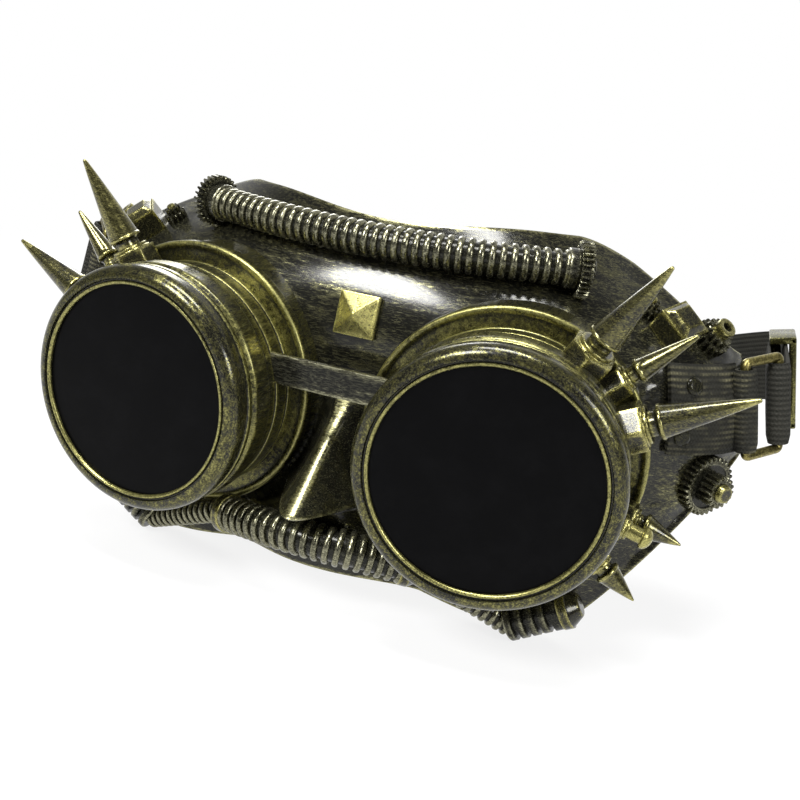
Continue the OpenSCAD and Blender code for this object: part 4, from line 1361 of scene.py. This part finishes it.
def build_ring(side, s):
    """The rectangular ring: one round wire with bent corners."""
    half, wide, bend = STRAP_WIDTH / 2 + 1.4, 11.0, 0.9
    path = []
    for k, (x, z) in enumerate(((0, -half), (wide, -half), (wide, half), (0, half))):
        cx = x + bend * (1 if x == 0 else -1)
        cz = z + bend * (1 if z < 0 else -1)
        for a in range(0, 91, 15):
            t = math.radians(180 + 90 * k) + math.radians(a)
            path.append(Vector((cx + bend * math.cos(t), 0, cz + bend * math.sin(t))))
    rings, n = [], len(path)
    for k in range(n):
        up = (path[(k + 1) % n] - path[k - 1]).normalized().cross(BACK)
        rings.append([path[k] + BAR_R * (math.cos(a) * BACK + math.sin(a) * up)
                      for a in (2 * math.pi * j / 16 for j in range(16))])
    at = (flip(s) @ Matrix.Translation(BAR_AT) @ Matrix.Rotation(-STRAP_LEAN, 4, "Y")
          @ Matrix.Rotation(math.pi / 2 - RING_TURN, 4, "Z"))
    piece(f"{side}_square_ring", swept(rings, closed=True), "Ring brass", f"{side}_strap_ring",
          at, slot="ring_brass")


# Studio. Each lamp: name, place in metres, width, depth, power in watts.

LAMPS = (("key_light", (-0.35, -0.8, 0.78), 0.36, 0.36, 12),
         ("fill_light", (0.9, -0.6, 0.5), 0.4, 0.4, 6),
         ("top_light", (-0.05, -0.22, 1.0), 0.6, 0.24, 11),
         ("back_light", (-0.5, 0.9, 0.5), 0.5, 0.5, 5))
WHITE = (1, 1, 1, 1)
FLOOR_HALF, FLOOR_DROP = 6000, 0.0005


def build_camera(scene):
    """Camera at the photo's angle."""
    data = bpy.data.cameras.new("photo_camera")
    data.sensor_width, data.lens = 36, 36 * FOCAL_PX / 800
    data.clip_start, data.clip_end = 0.01, 20
    right, down, forward = (Vector(row) for row in CAMERA_ROWS)
    turn = Matrix((right, -down, -forward)).transposed()
    scene.camera = linked("photo_camera", data)
    scene.camera.matrix_world = Matrix.Translation(MM * Vector(CAMERA_AT)) @ turn.to_4x4()


def build_floor():
    """A pale floor just under the goggles, which the camera and the metal see as white."""
    corners = [(a * FLOOR_HALF, b * FLOOR_HALF, 0) for a, b in SQUARE]
    floor = raw_object("pale_floor", (corners, [(0, 1, 2, 3)]))
    for v in floor.data.vertices:
        v.co.z = CAD_BOX[0][2] - FLOOR_DROP
    mat, t, bsdf = new_material("Pale floor")
    shade = t.noise(t.place(), 3, 2)
    path = t.add("ShaderNodeLightPath").outputs
    white = t.add("ShaderNodeEmission", {"Color": WHITE, "Strength": 1.0}).outputs[0]
    t.feed(bsdf, {"Base Color": t.mix(shade, (0.93, 0.93, 0.93, 1), (0.95, 0.95, 0.95, 1)),
                  "Roughness": 0.9})
    seen = t.math("MAXIMUM", path["Is Camera Ray"], path["Is Glossy Ray"])
    far = t.add("ShaderNodeVectorMath", {0: t.place()}, operation="LENGTH").outputs["Value"]
    fac = t.math("MULTIPLY", seen, t.ramp(far, 0.12, 0.5, 0.82, 1.0))
    mixed = t.add("ShaderNodeMixShader", {0: fac, 1: bsdf.outputs[0], 2: white}).outputs[0]
    t.feed(t.tree.nodes["Material Output"], {0: mixed})
    floor.data.materials.append(mat)


def build_world(scene):
    """A soft room, brighter behind, and white where it is seen."""
    scene.world = bpy.data.worlds.new("Studio")
    scene.world.use_nodes = True
    w = Tree(scene.world.node_tree)
    way = w.add("ShaderNodeSeparateXYZ", {0: w.add("ShaderNodeTexCoord").outputs["Generated"]})
    path = w.add("ShaderNodeLightPath").outputs
    room = w.ramp(way.outputs[1], 0.0, 0.9, 0.12, 0.9)
    seen = w.math("MAXIMUM", path["Is Camera Ray"], path["Is Transmission Ray"])
    behind = w.math("MULTIPLY", path["Is Glossy Ray"], w.ramp(way.outputs[1], 0.3, 0.9))
    white = w.math("MAXIMUM", seen, behind)
    w.feed(w.tree.nodes["Background"], {"Strength": w.math("MAXIMUM", white, room),
                                        "Color": WHITE})


def build_studio():
    """Camera, pale floor, room and soft lamps."""
    scene = bpy.context.scene
    build_camera(scene)
    build_floor()
    build_world(scene)
    for name, place, wide, deep, power in LAMPS:
        lamp = bpy.data.lights.new(name, "AREA")
        lamp.shape, lamp.size, lamp.size_y, lamp.energy = "ELLIPSE", wide, deep, power
        aim = (-Vector(place)).to_track_quat("-Z", "Y").to_matrix().to_4x4()
        linked(name, lamp).matrix_world = Matrix.Translation(place) @ aim
    scene.view_settings.view_transform = "Standard"


# Operators and panel


class GOGGLES_OT_shell(bpy.types.Operator):
    """Build the half mask, dented at the temples"""

    bl_idname = "goggles.shell"
    bl_label = "Mask"

    def execute(self, context):
        build_shell()
        return {"FINISHED"}


class GOGGLES_OT_cups(bpy.types.Operator):
    """Build the collars, barrels, screw rings, lenses and gaskets"""

    bl_idname = "goggles.cups"
    bl_label = "Eye cups"

    def execute(self, context):
        build_cups()
        return {"FINISHED"}


class GOGGLES_OT_bridge(bpy.types.Operator):
    """Build the bar between the cups and the pyramid stud"""

    bl_idname = "goggles.bridge"
    bl_label = "Bridge and brow stud"

    def execute(self, context):
        build_bridge()
        return {"FINISHED"}


class GOGGLES_OT_hoses(bpy.types.Operator):
    """Build both ribbed hoses and their end collars"""

    bl_idname = "goggles.hoses"
    bl_label = "Hoses"

    def execute(self, context):
        build_hoses()
        return {"FINISHED"}


class GOGGLES_OT_spikes(bpy.types.Operator):
    """Build the spikes, thorns, bolts and their bases"""

    bl_idname = "goggles.spikes"
    bl_label = "Spikes and studs"

    def execute(self, context):
        build_spikes()
        return {"FINISHED"}


class GOGGLES_OT_gears(bpy.types.Operator):
    """Build the ornament gears and their hub screws"""

    bl_idname = "goggles.gears"
    bl_label = "Gears"

    def execute(self, context):
        build_gears()
        return {"FINISHED"}


class GOGGLES_OT_vents(bpy.types.Operator):
    """Build the slotted vents under the cups"""

    bl_idname = "goggles.vents"
    bl_label = "Vents"

    def execute(self, context):
        build_vents()
        return {"FINISHED"}


class GOGGLES_OT_strap(bpy.types.Operator):
    """Build the webbing, the tabs, the rings and the slider"""

    bl_idname = "goggles.strap"
    bl_label = "Strap"

    def execute(self, context):
        build_strap()
        return {"FINISHED"}


class GOGGLES_OT_studio(bpy.types.Operator):
    """Build the camera, the lamps and the floor"""

    bl_idname = "goggles.studio"
    bl_label = "Studio"

    def execute(self, context):
        build_studio()
        return {"FINISHED"}


class GOGGLES_PT_panel(bpy.types.Panel):
    """Lists the settings and the builders in the sidebar."""

    bl_idname = "GOGGLES_PT_panel"
    bl_label = "Goggles"
    bl_space_type = "VIEW_3D"
    bl_region_type = "UI"
    bl_category = "Goggles"

    def draw(self, context):
        for key in GogglesSettings.__annotations__:
            self.layout.prop(context.scene.goggles, key)
        for key in STEPS:
            self.layout.operator(f"goggles.{key}")


STEPS = ("studio", "shell", "cups", "bridge", "hoses", "spikes", "gears", "vents", "strap")
CLASSES = (GogglesSettings, GOGGLES_OT_shell, GOGGLES_OT_cups, GOGGLES_OT_bridge,
           GOGGLES_OT_hoses, GOGGLES_OT_spikes, GOGGLES_OT_gears, GOGGLES_OT_vents,
           GOGGLES_OT_strap, GOGGLES_OT_studio, GOGGLES_PT_panel)


def register():
    for cls in CLASSES:
        bpy.utils.register_class(cls)
    bpy.types.Scene.goggles = bpy.props.PointerProperty(type=GogglesSettings)


def unregister():
    del bpy.types.Scene.goggles
    for cls in reversed(CLASSES):
        bpy.utils.unregister_class(cls)


def main():
    register()
    for key in STEPS:
        getattr(bpy.ops.goggles, key)()


if __name__ == "__main__":
    main()
